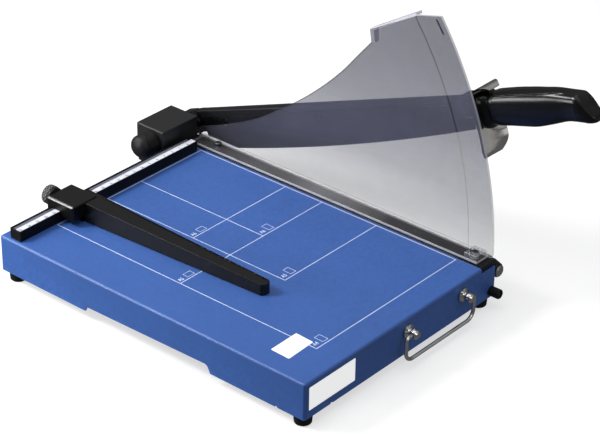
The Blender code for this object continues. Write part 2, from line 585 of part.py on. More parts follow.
def loft(name, sections, mat, parent, count=24):
    """A closed skin over sections (s, centre X, centre height, half width, half height, squareness)."""
    bm = bmesh.new()
    rings = [ring(bm, (x, h), (w, t), sq, s, count) for s, x, h, w, t, sq in sections]
    for near, far in zip(rings, rings[1:]):
        for i in range(count):
            j = (i + 1) % count
            bm.faces.new((near[i], far[i], far[j], near[j]))
    bm.faces.new(rings[0])
    bm.faces.new(list(reversed(rings[-1])))
    bmesh.ops.recalc_face_normals(bm, faces=bm.faces)
    mesh = bpy.data.meshes.new(name)
    bm.to_mesh(mesh)
    bm.free()
    smooth(mesh, 40)
    return link(name, mesh, mat, parent, (0, 0, 0))


collar = box("handle_collar", (0.6, 14.8), (-336.5, -328.4), (-9.6, 10.2), BLACK_PLASTIC, ARM, bevel=0.8)
boolean(collar, box("cut_collar_tang", (6.0, 12.4), (-350, -325), (-8.4, 1.4), None, ARM, cutter=True))
boolean(collar, box("cut_collar_arm", (1.9, 12.7), (-329.9, -325), (-9.4, 7.7), None, ARM, cutter=True))


def guard_s(x, h):
    """How far along the arm the guard plate stands, over its width and height."""
    profile = ((-48.0, 336.2), (-36.5, 338.1), (-25.0, 338.7), (-14.0, 338.1), (-4.0, 338.0), (4.0, 338.1),
               (9.2, 338.8), (11.2, 340.8), (12.6, 343.8), (13.6, 347.4), (14.0, 350.6))
    for (h0, s0), (h1, s1) in zip(profile, profile[1:]):
        if h <= h1:
            break
    base = s0 + (s1 - s0) * (h - h0) / (h1 - h0)
    across = (x - GUARD_X[0]) / (GUARD_X[1] - GUARD_X[0])
    below = min(max((-22.5 - h) / 7.0, 0.0), 1.0) * min(max((h + 52.0) / 16.0, 0.0), 1.0)
    return base + 5.2 * across ** 2 * below


GUARD_ROWS = (-47.0, -45.0, -41.0, -36.0, -31.0, -27.5, -24.0, -22.0, -14.0, -7.0, 0.0, 5.0, 9.0, 10.8, 12.3, 13.3, 14.0)
GUARD_COLUMNS = (0.0, 0.04, 0.12, 0.25, 0.4, 0.55, 0.7, 0.82, 0.92, 0.97, 1.0)
bm = bmesh.new()
bmesh.ops.create_grid(bm, x_segments=len(GUARD_COLUMNS) - 1, y_segments=len(GUARD_ROWS) - 1, size=1.0)
for vert in bm.verts:
    column = GUARD_COLUMNS[round((vert.co.x + 1) / 2 * (len(GUARD_COLUMNS) - 1))]
    row = GUARD_ROWS[round((vert.co.y + 1) / 2 * (len(GUARD_ROWS) - 1))]
    # rounded corners: the side edges draw in near the bottom and the top
    low = min(max((-38.0 - row) / 9.0, 0.0), 1.0)
    high = min(max((row - 7.0) / 6.0, 0.0), 1.0)
    left = GUARD_X[0] + 3.0 * low ** 2.5 + 3.0 * high ** 2.5
    right = GUARD_X[1] - 7.5 * low ** 2.0 - 3.5 * high ** 2.5
    x = left + (right - left) * column
    vert.co = Vector((x, -guard_s(x, row), row)) * MM
mesh = bpy.data.meshes.new("hand_guard")
bm.to_mesh(mesh)
bm.free()
smooth(mesh)
guard = link("hand_guard", mesh, NICKEL, ARM, (0, 0, 0))
skin = guard.modifiers.new("sheet", "SOLIDIFY")
skin.thickness = 1.6 * MM
skin.offset = 0.0
boolean(guard, box("cut_guard_tang", (6.0, 12.4), (-360, -330), (-8.4, 1.4), None, ARM, cutter=True))

# (distance along the arm, centre height, half width, half height)
GRIP = [(341.0, -6.6, 11.6, 15.0), (342.6, -6.8, 12.5, 16.2), (347.6, -6.8, 12.5, 16.4), (349.6, -6.4, 11.4, 15.2),
        (351.4, -5.9, 10.5, 14.0), (354.0, -5.8, 10.7, 14.4), (358.0, -5.8, 11.2, 15.2), (370.0, -5.9, 11.5, 15.6),
        (383.0, -6.4, 11.5, 16.1), (395.0, -7.0, 11.4, 16.3), (407.0, -6.9, 11.2, 15.4), (413.5, -6.7, 11.1, 14.8),
        (420.0, -6.6, 11.0, 14.0), (426.0, -6.6, 10.9, 13.1), (432.0, -7.0, 10.9, 12.6), (438.0, -7.8, 10.8, 12.5),
        (443.0, -8.7, 10.6, 12.4), (447.4, -11.6, 10.0, 10.4), (451.0, -15.0, 9.0, 7.2), (454.5, -17.6, 7.2, 4.2),
        (456.4, -18.8, 5.0, 2.2)]
grip = loft("grip", [(s, GRIP_X, c, w, t, 2.8) for s, c, w, t in GRIP], GRIP_PLASTIC, ARM)
boolean(grip, box("cut_grip_tang", (6.0, 12.4), (-431.5, -335.0), (-8.4, 1.4), None, ARM, cutter=True))
boolean(grip, rod("cut_grip_bolt", "Y", (9.2, -3.5), 2.1, (-470, -430), None, ARM, segments=16, cutter=True))
boolean(grip, rod("cut_grip_bolt_head", "Y", (9.2, -3.5), 4.4, (-470, -440), None, ARM, segments=20, cutter=True))
turned("grip_bolt", [(0, -412.0), (1.7, -412.0), (1.7, -440.3), (4.0, -440.3), (4.0, -443.0), (3.2, -443.6),
                     (0, -443.6)], "Y", (9.2, -3.5), STEEL, ARM, steps=20)

# ------------------------------------------------------------ clamp shield
def arc_point(arc, z):
    """Y on the near side of an arc at height z."""
    return arc[0] - math.sqrt(arc[2] ** 2 - (z - arc[1]) ** 2)


TOP_EDGE = [(25.4, 6.6), (13.0, 12.6), (-1.0, 18.3), (-14.4, 24.0), (-25.8, 29.6), (-41.0, 37.0), (-56.3, 45.6),
            (-72.2, 56.8), (-90.8, 69.9), (-104.2, 80.2), (-117.5, 91.2), (-130.4, 102.8), (-143.5, 115.6),
            (-155.8, 128.9), (-170.1, 146.4), (-183.2, 162.0), (-181.3, 174.2), (-229.2, 201.2)]
CREASE_ARC = [(arc_point(CREASE, z), z) for z in [201.2 - 199.7 * i / 14 for i in range(1, 15)]]
wall = plate("clamp_shield", [[(25.0, 1.5), (27.6, 3.6)] + TOP_EDGE + CREASE_ARC], "YZ", WALL_X, SMOKED, CLAMP)
BAND_OUT = [(arc_point(OUTER, z), z) for z in [208.0 - 202.0 * i / 16 for i in range(17)]]
BAND_IN = [(arc_point(CREASE, z) + 2.0, z) for z in [1.5 + 199.0 * i / 14 for i in range(15)]]
band = plate("shield_band", [[(-227.6, 201.0)] + BAND_OUT + [(-320.4, 1.9), (-317.6, 1.5)] + BAND_IN], "YZ",
             (WALL_X[0] + 0.8, WALL_X[1] + 0.8), None, CLAMP, cutter=True)
boolean(wall, band, "UNION")
clamp_foot = box("shield_foot", (FOOT_X[0], FOOT_X[1] + 0.8), (-317.0, 14.0), CLAMP_Z, None, CLAMP, bevel=0.5,
                 cutter=True)
boolean(wall, clamp_foot, "UNION")
boolean(wall, box("shield_bead", (-8.3, -6.6), (-316.6, 13.6), (3.7, 5.2), None, CLAMP, bevel=0.4, cutter=True), "UNION")
boolean(wall, box("shield_boss", (-21.6, -6.4), (-315.3, -302.5), (3.4, 8.2), None, CLAMP, bevel=0.6, cutter=True),
        "UNION")
# the finger lip along the top edge
LIP = [(-183.2, 162.0), (-181.3, 174.2), (-228.9, 203.4), (-229.8, 201.0), (-183.9, 172.8), (-185.4, 161.2)]
boolean(wall, plate("shield_lip", [LIP], "YZ", (WALL_X[0] + 0.2, 2.0), None, CLAMP, cutter=True), "UNION")
for label, spot in GUIDES.items():
    boolean(wall, rod(f"cut_guide_hole_{label}", "Z", spot, 2.5, (0, 9), None, CLAMP, segments=20, cutter=True))
    boolean(wall, rod(f"cut_spring_pocket_{label}", "Z", spot, 3.9, (0, 2.75), None, CLAMP, segments=24, cutter=True))
boolean(wall, rod("cut_boss_well", "Z", GUIDES["front"], 5.0, (4.0, 12.0), None, CLAMP, segments=28, cutter=True))
FOLLOWER = (20.5, 4.6)
boolean(wall, rod("cut_follower_hole", "X", FOLLOWER, 1.9, (-12, 0), None, CLAMP, segments=20, cutter=True))
turned("cam_follower", [(0, -0.6), (2.9, -0.6), (2.9, -4.2), (1.55, -4.2), (1.55, -8.6), (0, -8.6)],
       "X", FOLLOWER, BLACK_STEEL, CLAMP, steps=20)
for label, spot in GUIDES.items():
    turned(f"guide_screw_{label}", [(0, 7.6), (2.6, 7.6), (3.4, 7.0), (3.4, 5.2), (2.1, 5.2), (2.1, -3.9),
                                    (1.6, -3.9), (1.6, -6.2), (0, -6.2)], "Z", spot, BLACK_STEEL, steps=20)
    spring(f"clamp_spring_{label}", "Z", spot, 3.05, 0.4, (-4.0, 1.2), 3.5, SPRING)

# ------------------------------------------------------------ carrying bail
LEFT, RIGHT = STUD_X["left"] - 10.5, STUD_X["right"] + 7.0
LOW = -35.1 - BAIL_Z
corners = rounded([(STUD_X["left"] + 5.0, 0.0), (LEFT, 0.0), (LEFT, LOW), (RIGHT, LOW), (RIGHT, 0.0),
                   (STUD_X["right"] - 5.0, 0.0)], [0, 3.5, 9.0, 9.0, 3.5, 0], 5)
wire("carry_bail", [(x, 0.0, z) for x, z in corners], BAIL_WIRE, NICKEL, BAIL, 3)
for label, x in STUD_X.items():
    stud = turned(f"bail_stud_{label}", [(0, -318.4), (2.0, -318.4), (2.0, -323.7), (6.2, -323.7), (6.2, -325.4),
                                         (4.1, -326.3), (3.4, -327.3), (4.1, -328.3), (4.4, -330.85), (4.15, -333.5),
                                         (2.75, -335.15), (0, -335.7)], "Y", (x, BAIL_Z), NICKEL, steps=24)
    boolean(stud, rod(f"cut_bail_eye_{label}", "X", (BAIL_Y, BAIL_Z), 2.0, (x - 8.5, x + 8.5), None, segments=20,
                      cutter=True))
    stud_nut = plate(f"stud_nut_{label}", [hexagon(4.0), circle((0, 0), 2.3, 16)], "XZ", (-321.6, -318.9), STEEL)
    stud_nut.location += Vector((x, 0, BAIL_Z)) * MM

# ------------------------------------------------------------ rubber buffer
turned("rubber_buffer", [(4.5, -323.7), (4.5, -333.1), (3.9, -333.9), (2.6, -333.9), (2.6, -330.5), (1.9, -330.5),
                         (1.9, -323.7)], "Y", BUFFER, RUBBER, closed=True, steps=24)
turned("buffer_screw", [(0, -316.0), (1.55, -316.0), (1.55, -330.8), (2.3, -330.8), (2.3, -332.5), (0, -332.5)],
       "Y", BUFFER, STEEL, steps=16)
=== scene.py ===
import json
import math

import bmesh
import bpy
from mathutils import Matrix, Vector

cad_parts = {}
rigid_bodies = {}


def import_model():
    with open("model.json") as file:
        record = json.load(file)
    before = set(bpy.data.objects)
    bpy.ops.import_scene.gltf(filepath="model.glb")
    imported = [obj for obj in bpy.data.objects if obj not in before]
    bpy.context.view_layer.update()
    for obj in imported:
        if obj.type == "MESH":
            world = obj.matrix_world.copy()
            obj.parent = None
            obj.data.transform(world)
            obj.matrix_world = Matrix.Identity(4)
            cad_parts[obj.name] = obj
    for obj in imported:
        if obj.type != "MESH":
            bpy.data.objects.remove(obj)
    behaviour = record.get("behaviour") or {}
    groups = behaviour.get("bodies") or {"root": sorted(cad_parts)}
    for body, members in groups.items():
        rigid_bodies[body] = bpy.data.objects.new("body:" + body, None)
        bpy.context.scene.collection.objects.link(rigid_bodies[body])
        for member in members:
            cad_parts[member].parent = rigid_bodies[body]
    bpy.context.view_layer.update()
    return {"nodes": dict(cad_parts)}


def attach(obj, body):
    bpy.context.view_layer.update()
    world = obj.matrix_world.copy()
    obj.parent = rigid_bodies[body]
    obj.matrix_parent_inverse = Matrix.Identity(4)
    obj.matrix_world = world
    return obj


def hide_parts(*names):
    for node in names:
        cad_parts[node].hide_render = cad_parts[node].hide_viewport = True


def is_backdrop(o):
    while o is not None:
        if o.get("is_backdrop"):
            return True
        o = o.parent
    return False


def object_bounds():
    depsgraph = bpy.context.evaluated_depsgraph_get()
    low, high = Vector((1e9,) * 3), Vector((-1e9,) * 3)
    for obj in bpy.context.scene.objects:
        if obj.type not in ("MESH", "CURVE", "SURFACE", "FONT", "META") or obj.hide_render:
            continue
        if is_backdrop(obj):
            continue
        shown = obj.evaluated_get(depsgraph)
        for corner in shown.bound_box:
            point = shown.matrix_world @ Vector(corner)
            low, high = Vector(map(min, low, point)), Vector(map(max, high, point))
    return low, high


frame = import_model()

MM = 0.001

# ------------------------------------------------------------------ frames
# The drawing frame has the table's top at Z 0 and the fence's front face at Y 0.
SHIFT = Matrix.Translation((0.1116, 0.1764, 0.0432))
BASE = SHIFT
ARM = SHIFT @ Matrix.Translation((0, 0.030, 0.0115)) @ Matrix.Rotation(math.radians(-21.0), 4, "X")
KNOB = SHIFT @ Matrix.Translation((-0.194, 0.021, 0.0144))
BAIL = SHIFT @ Matrix.Translation((0, -0.331, -0.0123))


# ------------------------------------------------------------------ camera
cam_data = bpy.data.cameras.new("photo_camera")
cam_data.sensor_fit = "HORIZONTAL"
cam_data.sensor_width = 36.0
cam_data.lens = 131.842
cam_data.clip_start, cam_data.clip_end = 0.05, 50.0
camera = bpy.data.objects.new("photo_camera", cam_data)
bpy.context.scene.collection.objects.link(camera)
camera.matrix_world = Matrix(((0.64898615, 0.37315267, -0.66300382, -1.2311924),
                              (-0.76069382, 0.33284097, -0.55728073, -1.0534220),
                              (0.01272404, 0.86601038, 0.49986411, 1.0113063),
                              (0.0, 0.0, 0.0, 1.0)))
bpy.context.scene.camera = camera


# --------------------------------------------------------------- materials
def lin(r, g, b):
    return tuple(c / 12.92 if c <= 0.04045 else ((c + 0.055) / 1.055) ** 2.4
                 for c in (r / 255, g / 255, b / 255)) + (1.0,)


def scaled(colour, factor):
    return tuple(min(c * factor, 1.0) for c in colour[:3]) + (1.0,)


class Finish:
    """A Principled material that is built up from procedural textures in the object's own metres."""

    def __init__(self, name):
        self.mat = bpy.data.materials.new(name)
        self.mat.use_nodes = True
        self.tree = self.mat.node_tree
        self.shader = self.tree.nodes["Principled BSDF"]
        self.place = self.node("ShaderNodeTexCoord").outputs["Object"]
        self.bump_out = None

    def node(self, kind, **settings):
        made = self.tree.nodes.new(kind)
        for key, value in settings.items():
            setattr(made, key, value)
        return made

    def link(self, a, b):
        self.tree.links.new(a, b)

    def set(self, **values):
        for key, value in values.items():
            self.shader.inputs[key.replace("_", " ")].default_value = value
        return self

    def noise(self, scale, detail=2.0, rough=0.5, stretch=None, place=None, distortion=0.0):
        where = place or self.place
        if stretch:
            mapping = self.node("ShaderNodeMapping")
            mapping.inputs["Scale"].default_value = stretch
            self.link(where, mapping.inputs["Vector"])
            where = mapping.outputs["Vector"]
        made = self.node("ShaderNodeTexNoise")
        self.link(where, made.inputs["Vector"])
        made.inputs["Scale"].default_value = scale
        made.inputs["Detail"].default_value = detail
        made.inputs["Roughness"].default_value = rough
        made.inputs["Distortion"].default_value = distortion
        return made.outputs["Fac"]

    def spread(self, value, low, high, out_low=0.0, out_high=1.0):
        made = self.node("ShaderNodeMapRange")
        self.link(value, made.inputs["Value"])
        for key, number in (("From Min", low), ("From Max", high), ("To Min", out_low), ("To Max", out_high)):
            made.inputs[key].default_value = number
        return made.outputs["Result"]

    def times(self, a, b):
        made = self.node("ShaderNodeMath", operation="MULTIPLY")
        self.link(a, made.inputs[0])
        if isinstance(b, (int, float)):
            made.inputs[1].default_value = b
        else:
            self.link(b, made.inputs[1])
        return made.outputs["Value"]

    def mix(self, factor, first, second):
        """A colour between two, which are colours or other sockets."""
        made = self.node("ShaderNodeMix", data_type="RGBA")
        self.link(factor, made.inputs["Factor"])
        for key, value in (("A", first), ("B", second)):
            socket = [s for s in made.inputs if s.name == key and s.type == "RGBA"][0]
            if isinstance(value, tuple):
                socket.default_value = value
            else:
                self.link(value, socket)
        return [s for s in made.outputs if s.type == "RGBA"][0]

    def colour(self, socket):
        self.link(socket, self.shader.inputs["Base Color"])

    def roughness(self, socket):
        self.link(socket, self.shader.inputs["Roughness"])

    def bump(self, height, strength, distance):
        made = self.node("ShaderNodeBump")
        made.inputs["Strength"].default_value = strength
        made.inputs["Distance"].default_value = distance
        self.link(height, made.inputs["Height"])
        if self.bump_out is not None:
            self.link(self.bump_out, made.inputs["Normal"])
        self.bump_out = made.outputs["Normal"]
        self.link(self.bump_out, self.shader.inputs["Normal"])

    def edge(self, low=0.52, high=0.62):
        """1 along convex edges, 0 elsewhere, broken up by noise."""
        point = self.node("ShaderNodeNewGeometry").outputs["Pointiness"]
        return self.times(self.spread(point, low, high), self.spread(self.noise(260.0, 4.0, 0.6), 0.35, 0.65))

    def height(self):
        made = self.node("ShaderNodeSeparateXYZ")
        self.link(self.place, made.inputs["Vector"])
        return made.outputs


def powder_coat(name, base, rough, worn=1.5, peel=1.0, edge=0.35):
    f = Finish(name)
    cloud = f.spread(f.noise(14.0, 4.0, 0.55), 0.3, 0.7)
    body = f.mix(cloud, scaled(base, 0.93), scaled(base, 1.05))
    fleck = f.spread(f.noise(2600.0, 2.0, 0.6), 0.60, 0.78, 0.0, 0.22)
    body = f.mix(fleck, body, scaled(base, 1.6))
    # Lighter along convex edges: edge wear together with a painted highlight where the edges catch the light.
    body = f.mix(f.times(f.edge(), edge), body, scaled(base, worn))
    f.colour(body)
    f.roughness(f.spread(f.noise(90.0, 5.0, 0.6), 0.25, 0.75, rough - 0.05, rough + 0.08))
    f.bump(f.noise(620.0, 2.0, 0.45), 0.22 * peel, 0.00012)
    f.bump(f.noise(2600.0, 2.0, 0.6), 0.12 * peel, 0.00004)
    return f


def moulded(name, base, rough, grain=1.0, worn=2.2, scale=2200.0, edge=0.25, mottle=0.04):
    f = Finish(name)
    cloud = f.spread(f.noise(40.0, 4.0, 0.6), 0.3, 0.7)
    body = f.mix(cloud, scaled(base, 0.90), scaled(base, 1.10))
    # Lighter along convex edges: edge wear together with a painted highlight where the edges catch the light.
    body = f.mix(f.times(f.edge(), edge), body, scaled(base, worn))
    f.colour(body)
    f.roughness(f.spread(f.noise(180.0, 5.0, 0.65), 0.25, 0.75, rough - mottle, rough + mottle * 1.5))
    cell = f.node("ShaderNodeTexVoronoi", feature="SMOOTH_F1")
    cell.inputs["Scale"].default_value = scale
    f.link(f.place, cell.inputs["Vector"])
    f.bump(cell.outputs["Distance"], 0.25 * grain, 0.00005)
    return f


def metal(name, base, rough, brushed=(1.0, 30.0, 30.0), depth=1.0, tarnish=0.75):
    f = Finish(name)
    f.set(Metallic=1.0)
    grain = f.noise(160.0, 4.0, 0.65, stretch=brushed)
    stain = f.spread(f.noise(70.0, 4.0, 0.6), 0.35, 0.7)
    f.colour(f.mix(stain, base, scaled(base, tarnish)))
    f.roughness(f.spread(grain, 0.25, 0.75, rough - 0.07, rough + 0.14))
    f.bump(grain, 0.12 * depth, 0.00003)
    return f


blue = powder_coat("blue_powder_coat", lin(56, 92, 160), 0.40, worn=1.9)
black_coat = powder_coat("black_powder_coat", lin(15, 15, 18), 0.38, worn=3.0, peel=1.2)
black_steel = metal("blackened_steel", lin(42, 43, 47), 0.36, (1, 1, 1))
guide_steel = metal("guide_screw_steel", lin(92, 92, 95), 0.40, (1, 1, 1))
bright_steel = metal("bright_steel", lin(185, 185, 187), 0.26, (1, 1, 1))
knife_steel = metal("ground_knife_steel", lin(62, 64, 70), 0.34, (40.0, 1.0, 12.0), 0.6)
brass = metal("brass", lin(190, 155, 90), 0.30, (1, 1, 1))
nickel = metal("nickel_plate", lin(206, 204, 200), 0.15, (1, 1, 1), 0.4, 0.82)
bronze = metal("bush_bronze", lin(66, 54, 44), 0.46, (1, 1, 1))
spring_steel = metal("spring_steel", lin(120, 120, 125), 0.30, (1, 1, 1))
black_plastic = moulded("black_plastic", lin(13, 13, 13), 0.28, grain=0.12, edge=0.05, mottle=0.012)
# Light grey glossy plastic for the stop block's top-left edge: a painted highlight.
painted_highlight_plastic = moulded("painted_highlight_plastic_edge", lin(90, 90, 92), 0.13, grain=0.1, edge=0.1, mottle=0.01)
cap_plastic = moulded("cap_plastic", lin(15, 15, 16), 0.50, grain=1.0, edge=0.15)
# Light grey for the knurl's crests: wear and a painted highlight.
knurl_ridge_wear_and_highlight = moulded("knurl_ridge_wear_and_highlight", lin(132, 131, 124), 0.36, grain=0.4, edge=0.3)
rail_coat = powder_coat("rail_black_coat", lin(9, 9, 11), 0.46, worn=3.0, peel=1.2)
cover_plastic = moulded("cover_plastic", lin(20, 20, 22), 0.46, grain=1.3, edge=0.15)
# Strong lightening along its edges: wear and a painted highlight on the knurl's ridges.
knurled_plastic = moulded("knurled_plastic", lin(11, 11, 12), 0.34, grain=0.5, worn=9.0, edge=0.9)
grip_plastic = moulded("grip_plastic", lin(8, 8, 10), 0.21, grain=0.08, scale=1500.0, edge=0.10, mottle=0.015)
rubber = moulded("black_rubber", lin(13, 13, 14), 0.70, grain=1.4, worn=3.0)
for each, level in ((black_coat, 0.34), (black_plastic, 0.27), (cover_plastic, 0.5), (knurled_plastic, 0.3),
                    (grip_plastic, 0.29), (rubber, 0.25), (blue, 0.42), (painted_highlight_plastic, 0.9), (cap_plastic, 0.32),
                    (knurl_ridge_wear_and_highlight, 0.4), (rail_coat, 0.16)):
    each.shader.inputs["Specular IOR Level"].default_value = level


def scale_white(name="white_scale", base=lin(226, 228, 236)):
    f = Finish(name)
    f.colour(f.mix(f.spread(f.noise(60.0, 4.0), 0.3, 0.7), base, scaled(base, 0.92)))
    f.roughness(f.spread(f.noise(300.0, 4.0), 0.3, 0.7, 0.28, 0.42))
    f.bump(f.noise(1500.0, 2.0), 0.05, 0.00002)
    return f


def ink(name, base, thin=0.0):
    f = Finish(name)
    worn = f.spread(f.noise(420.0, 5.0, 0.65), 0.30, 0.55)
    f.colour(f.mix(worn, scaled(base, 0.80), base))
    f.roughness(f.spread(f.noise(200.0, 3.0), 0.3, 0.7, 0.40, 0.55))
    f.bump(f.noise(900.0, 2.0), 0.08, 0.00003)
    return f


def label(name="blank_label", glow=0.28):
    f = Finish(name)
    base = lin(240, 241, 243)
    f.colour(f.mix(f.spread(f.noise(120.0, 5.0, 0.6), 0.3, 0.7), base, scaled(base, 0.94)))
    f.roughness(f.spread(f.noise(240.0, 3.0), 0.3, 0.7, 0.30, 0.45))
    f.bump(f.noise(1400.0, 3.0), 0.06, 0.00003)
    # The label glows a little: painted light that lifts it towards white.
    f.set(Emission_Color=(1.0, 1.0, 1.0, 1.0), Emission_Strength=glow)
    return f


def smoked(name, tint, steps, rough=0.10, level=0.3):
    """Smoked clear sheet with faint dust and scratches. Its density follows steps by height, which paint light and
    shade on it: the main sheet is denser towards the top. steps are (height, density).
    """
    f = Finish(name)
    rise = f.spread(f.height()["Z"], 0.05, 0.25)
    dust = f.spread(f.noise(55.0, 6.0, 0.65), 0.35, 0.75, 0.0, 1.0)
    f.colour(f.mix(dust, tint, scaled(tint, 1.22)))
    ramp = f.node("ShaderNodeValToRGB")
    ramp.color_ramp.interpolation = "LINEAR"
    for spot, (place, value) in enumerate(steps):
        stop = ramp.color_ramp.elements[spot] if spot < 2 else ramp.color_ramp.elements.new(place)
        stop.position = place
        stop.color = (value, value, value, 1.0)
    f.link(rise, ramp.inputs["Fac"])
    more = f.node("ShaderNodeMath", operation="MULTIPLY_ADD", use_clamp=True)
    f.link(dust, more.inputs[0])
    more.inputs[1].default_value = 0.02
    f.link(ramp.outputs["Color"], more.inputs[2])
    f.link(more.outputs["Value"], f.shader.inputs["Alpha"])
    scratch = f.noise(380.0, 3.0, 0.7, stretch=(1.0, 0.6, 9.0))
    f.roughness(f.spread(scratch, 0.35, 0.75, rough - 0.03, rough + 0.07))
    f.bump(f.noise(30.0, 2.0), 0.04, 0.0002)
    f.shader.inputs["Specular IOR Level"].default_value = level
    return f


scale_finish = scale_white()
# The groove is lined in the scale's white, made darker and bluer: painted shade in the groove.
groove_lining_painted_shade = scale_white("painted_shade_groove_lining", lin(190, 191, 204))
white_ink = ink("white_print", lin(212, 225, 254))
edge_ink = ink("edge_print", lin(112, 132, 186))
grey_ink = ink("grey_print", lin(84, 86, 104))
pale_ink = ink("pale_print", lin(150, 152, 172))
blank_label = label()
# The front label glows more strongly: painted light.
front_label_painted_glow = label("blank_label_front", 0.52)
# Density by height for the main sheet: painted shade, darker towards the top and lighter lower down.
SHEET_SHADE_STEPS = [(0.0, 0.22), (1.0, 0.635), (0.046, 0.25), (0.106, 0.28), (0.166, 0.335), (0.241, 0.41), (0.391, 0.468),
           (0.466, 0.511), (0.541, 0.54), (0.616, 0.569), (0.691, 0.589), (0.841, 0.619)]
shield_sheet = smoked("smoked_clear_plastic", (0.110, 0.112, 0.152, 1.0), SHEET_SHADE_STEPS)
# Near white for the sheet's cut edges and rims: a painted highlight.
shield_painted_highlight = smoked("smoked_plastic_painted_highlight", (0.86, 0.86, 0.92, 1.0), [(0.0, 0.42), (1.0, 0.42)], 0.2)
# Near black for the crease and the top rim: painted shade, fainter lower down.
shield_painted_shade = smoked("smoked_plastic_painted_shade", (0.05, 0.05, 0.065, 1.0),
                     [(0.0, 0.36), (1.0, 0.80), (0.25, 0.46), (0.55, 0.55), (0.8, 0.72)], 0.2)
shield_foot = smoked("smoked_plastic_foot", (0.055, 0.052, 0.06, 1.0), [(0.0, 0.40), (1.0, 0.40)], 0.08, 0.5)
shield_boss = smoked("smoked_plastic_boss", (0.30, 0.30, 0.33, 1.0), [(0.0, 0.26), (1.0, 0.26)], 0.10, 0.5)
# Pale lilac for the lip: a painted highlight.
painted_highlight_lip = smoked("smoked_plastic_painted_lip_highlight", (0.74, 0.73, 0.84, 1.0), [(0.0, 0.58), (1.0, 0.58)], 0.16, 0.5)


def haze(f, steps, low, high):
    """Lets a sheet's tint change along the machine: painted light and shade, lighter in the middle of the foot and
    darker towards its ends.
    """
    place = f.spread(f.height()["Y"], low, high)
    ramp = f.node("ShaderNodeValToRGB")
    ramp.color_ramp.interpolation = "EASE"
    for spot, (where, value) in enumerate(steps):
        stop = ramp.color_ramp.elements[spot] if spot < 2 else ramp.color_ramp.elements.new(where)
        stop.position = where
        stop.color = (value, value * 0.985, value * 1.04, 1.0)
    f.link(place, ramp.inputs["Fac"])
    cloud = f.spread(f.noise(120.0, 5.0, 0.6, stretch=(1.0, 0.35, 1.0)), 0.3, 0.7, 0.0, 0.5)
    dim = f.node("ShaderNodeMix", data_type="RGBA", blend_type="MULTIPLY")
    f.link(cloud, dim.inputs["Factor"])
    sockets = [s for s in dim.inputs if s.type == "RGBA"]
    f.link(ramp.outputs["Color"], sockets[0])
    sockets[1].default_value = (0.72, 0.72, 0.74, 1.0)
    f.colour([s for s in dim.outputs if s.type == "RGBA"][0])


haze(shield_foot, [(0.0, 0.055), (1.0, 0.065), (0.13, 0.055), (0.304, 0.08), (0.361, 0.16), (0.45, 0.27), (0.533, 0.34),
                   (0.59, 0.29), (0.647, 0.20), (0.761, 0.20), (0.818, 0.15), (0.918, 0.075)], -0.15, 0.20)


# ------------------------------------------------------------- mesh helpers
def temp(mesh, matrix=BASE):
    made = bpy.data.objects.new("helper", mesh)
    bpy.context.scene.collection.objects.link(made)
    made.matrix_world = matrix
    return made


def to_mesh(bm, name="mesh"):
    mesh = bpy.data.meshes.new(name)
    bm.to_mesh(mesh)
    bm.free()
    return mesh


def block(x, y, z, bevel=0.0, segments=1, edges=None, matrix=BASE):
    size = Vector((x[1] - x[0], y[1] - y[0], z[1] - z[0]))
    centre = Vector((x[0] + x[1], y[0] + y[1], z[0] + z[1])) / 2
    bm = bmesh.new()
    bmesh.ops.create_cube(bm, size=1.0)
    bmesh.ops.scale(bm, vec=size * MM, verts=bm.verts)
    if bevel:
        picked = [e for e in bm.edges if edges is None or edges(e)]
        bmesh.ops.bevel(bm, geom=picked, offset=bevel * MM, segments=segments, profile=0.5, affect="EDGES")
    bmesh.ops.translate(bm, vec=centre * MM, verts=bm.verts)
    return temp(to_mesh(bm), matrix)


TURN = {"X": Matrix.Rotation(math.radians(90), 4, "Y"), "Y": Matrix.Rotation(math.radians(-90), 4, "X"),
        "Z": Matrix.Identity(4)}


def bar(axis, centre, radius, span, segments=48, r2=None, matrix=BASE):
    bm = bmesh.new()
    bmesh.ops.create_cone(bm, cap_ends=True, cap_tris=False, segments=segments, radius1=radius * MM,
                          radius2=(radius if r2 is None else r2) * MM, depth=(span[1] - span[0]) * MM)
    middle = (span[0] + span[1]) / 2
    place = {"X": (middle, *centre), "Y": (centre[0], middle, centre[1]), "Z": (*centre, middle)}[axis]
    bmesh.ops.transform(bm, matrix=Matrix.Translation(Vector(place) * MM) @ TURN[axis], verts=bm.verts)
    return temp(to_mesh(bm), matrix)


def lathe(profile, axis, centre, steps=64, closed=False, matrix=BASE):
    """A turned solid from (radius, position) points."""
    bm = bmesh.new()
    rings = []
    for r, a in profile:
        if r < 1e-6:
            rings.append([bm.verts.new((0.0, 0.0, a * MM))])
        else:
            rings.append([bm.verts.new((r * MM * math.cos(2 * math.pi * i / steps),
                                        r * MM * math.sin(2 * math.pi * i / steps), a * MM))
                          for i in range(steps)])
    pairs = list(zip(rings, rings[1:])) + ([(rings[-1], rings[0])] if closed else [])
    for near, far in pairs:
        for i in range(steps):
            j = (i + 1) % steps
            corners = [near[i % len(near)], near[j % len(near)], far[j % len(far)], far[i % len(far)]]
            unique = list(dict.fromkeys(corners))
            if len(unique) > 2:
                bm.faces.new(unique)
    bmesh.ops.recalc_face_normals(bm, faces=bm.faces)
    place = {"X": (0, *centre), "Y": (centre[0], 0, centre[1]), "Z": (*centre, 0)}[axis]
    bmesh.ops.transform(bm, matrix=Matrix.Translation(Vector(place) * MM) @ TURN[axis], verts=bm.verts)
    return temp(to_mesh(bm), matrix)


PLANE = {"YZ": Matrix.Rotation(math.radians(90), 4, "Z") @ Matrix.Rotation(math.radians(90), 4, "X"),
         "XZ": Matrix.Rotation(math.radians(90), 4, "X"), "XY": Matrix.Identity(4)}


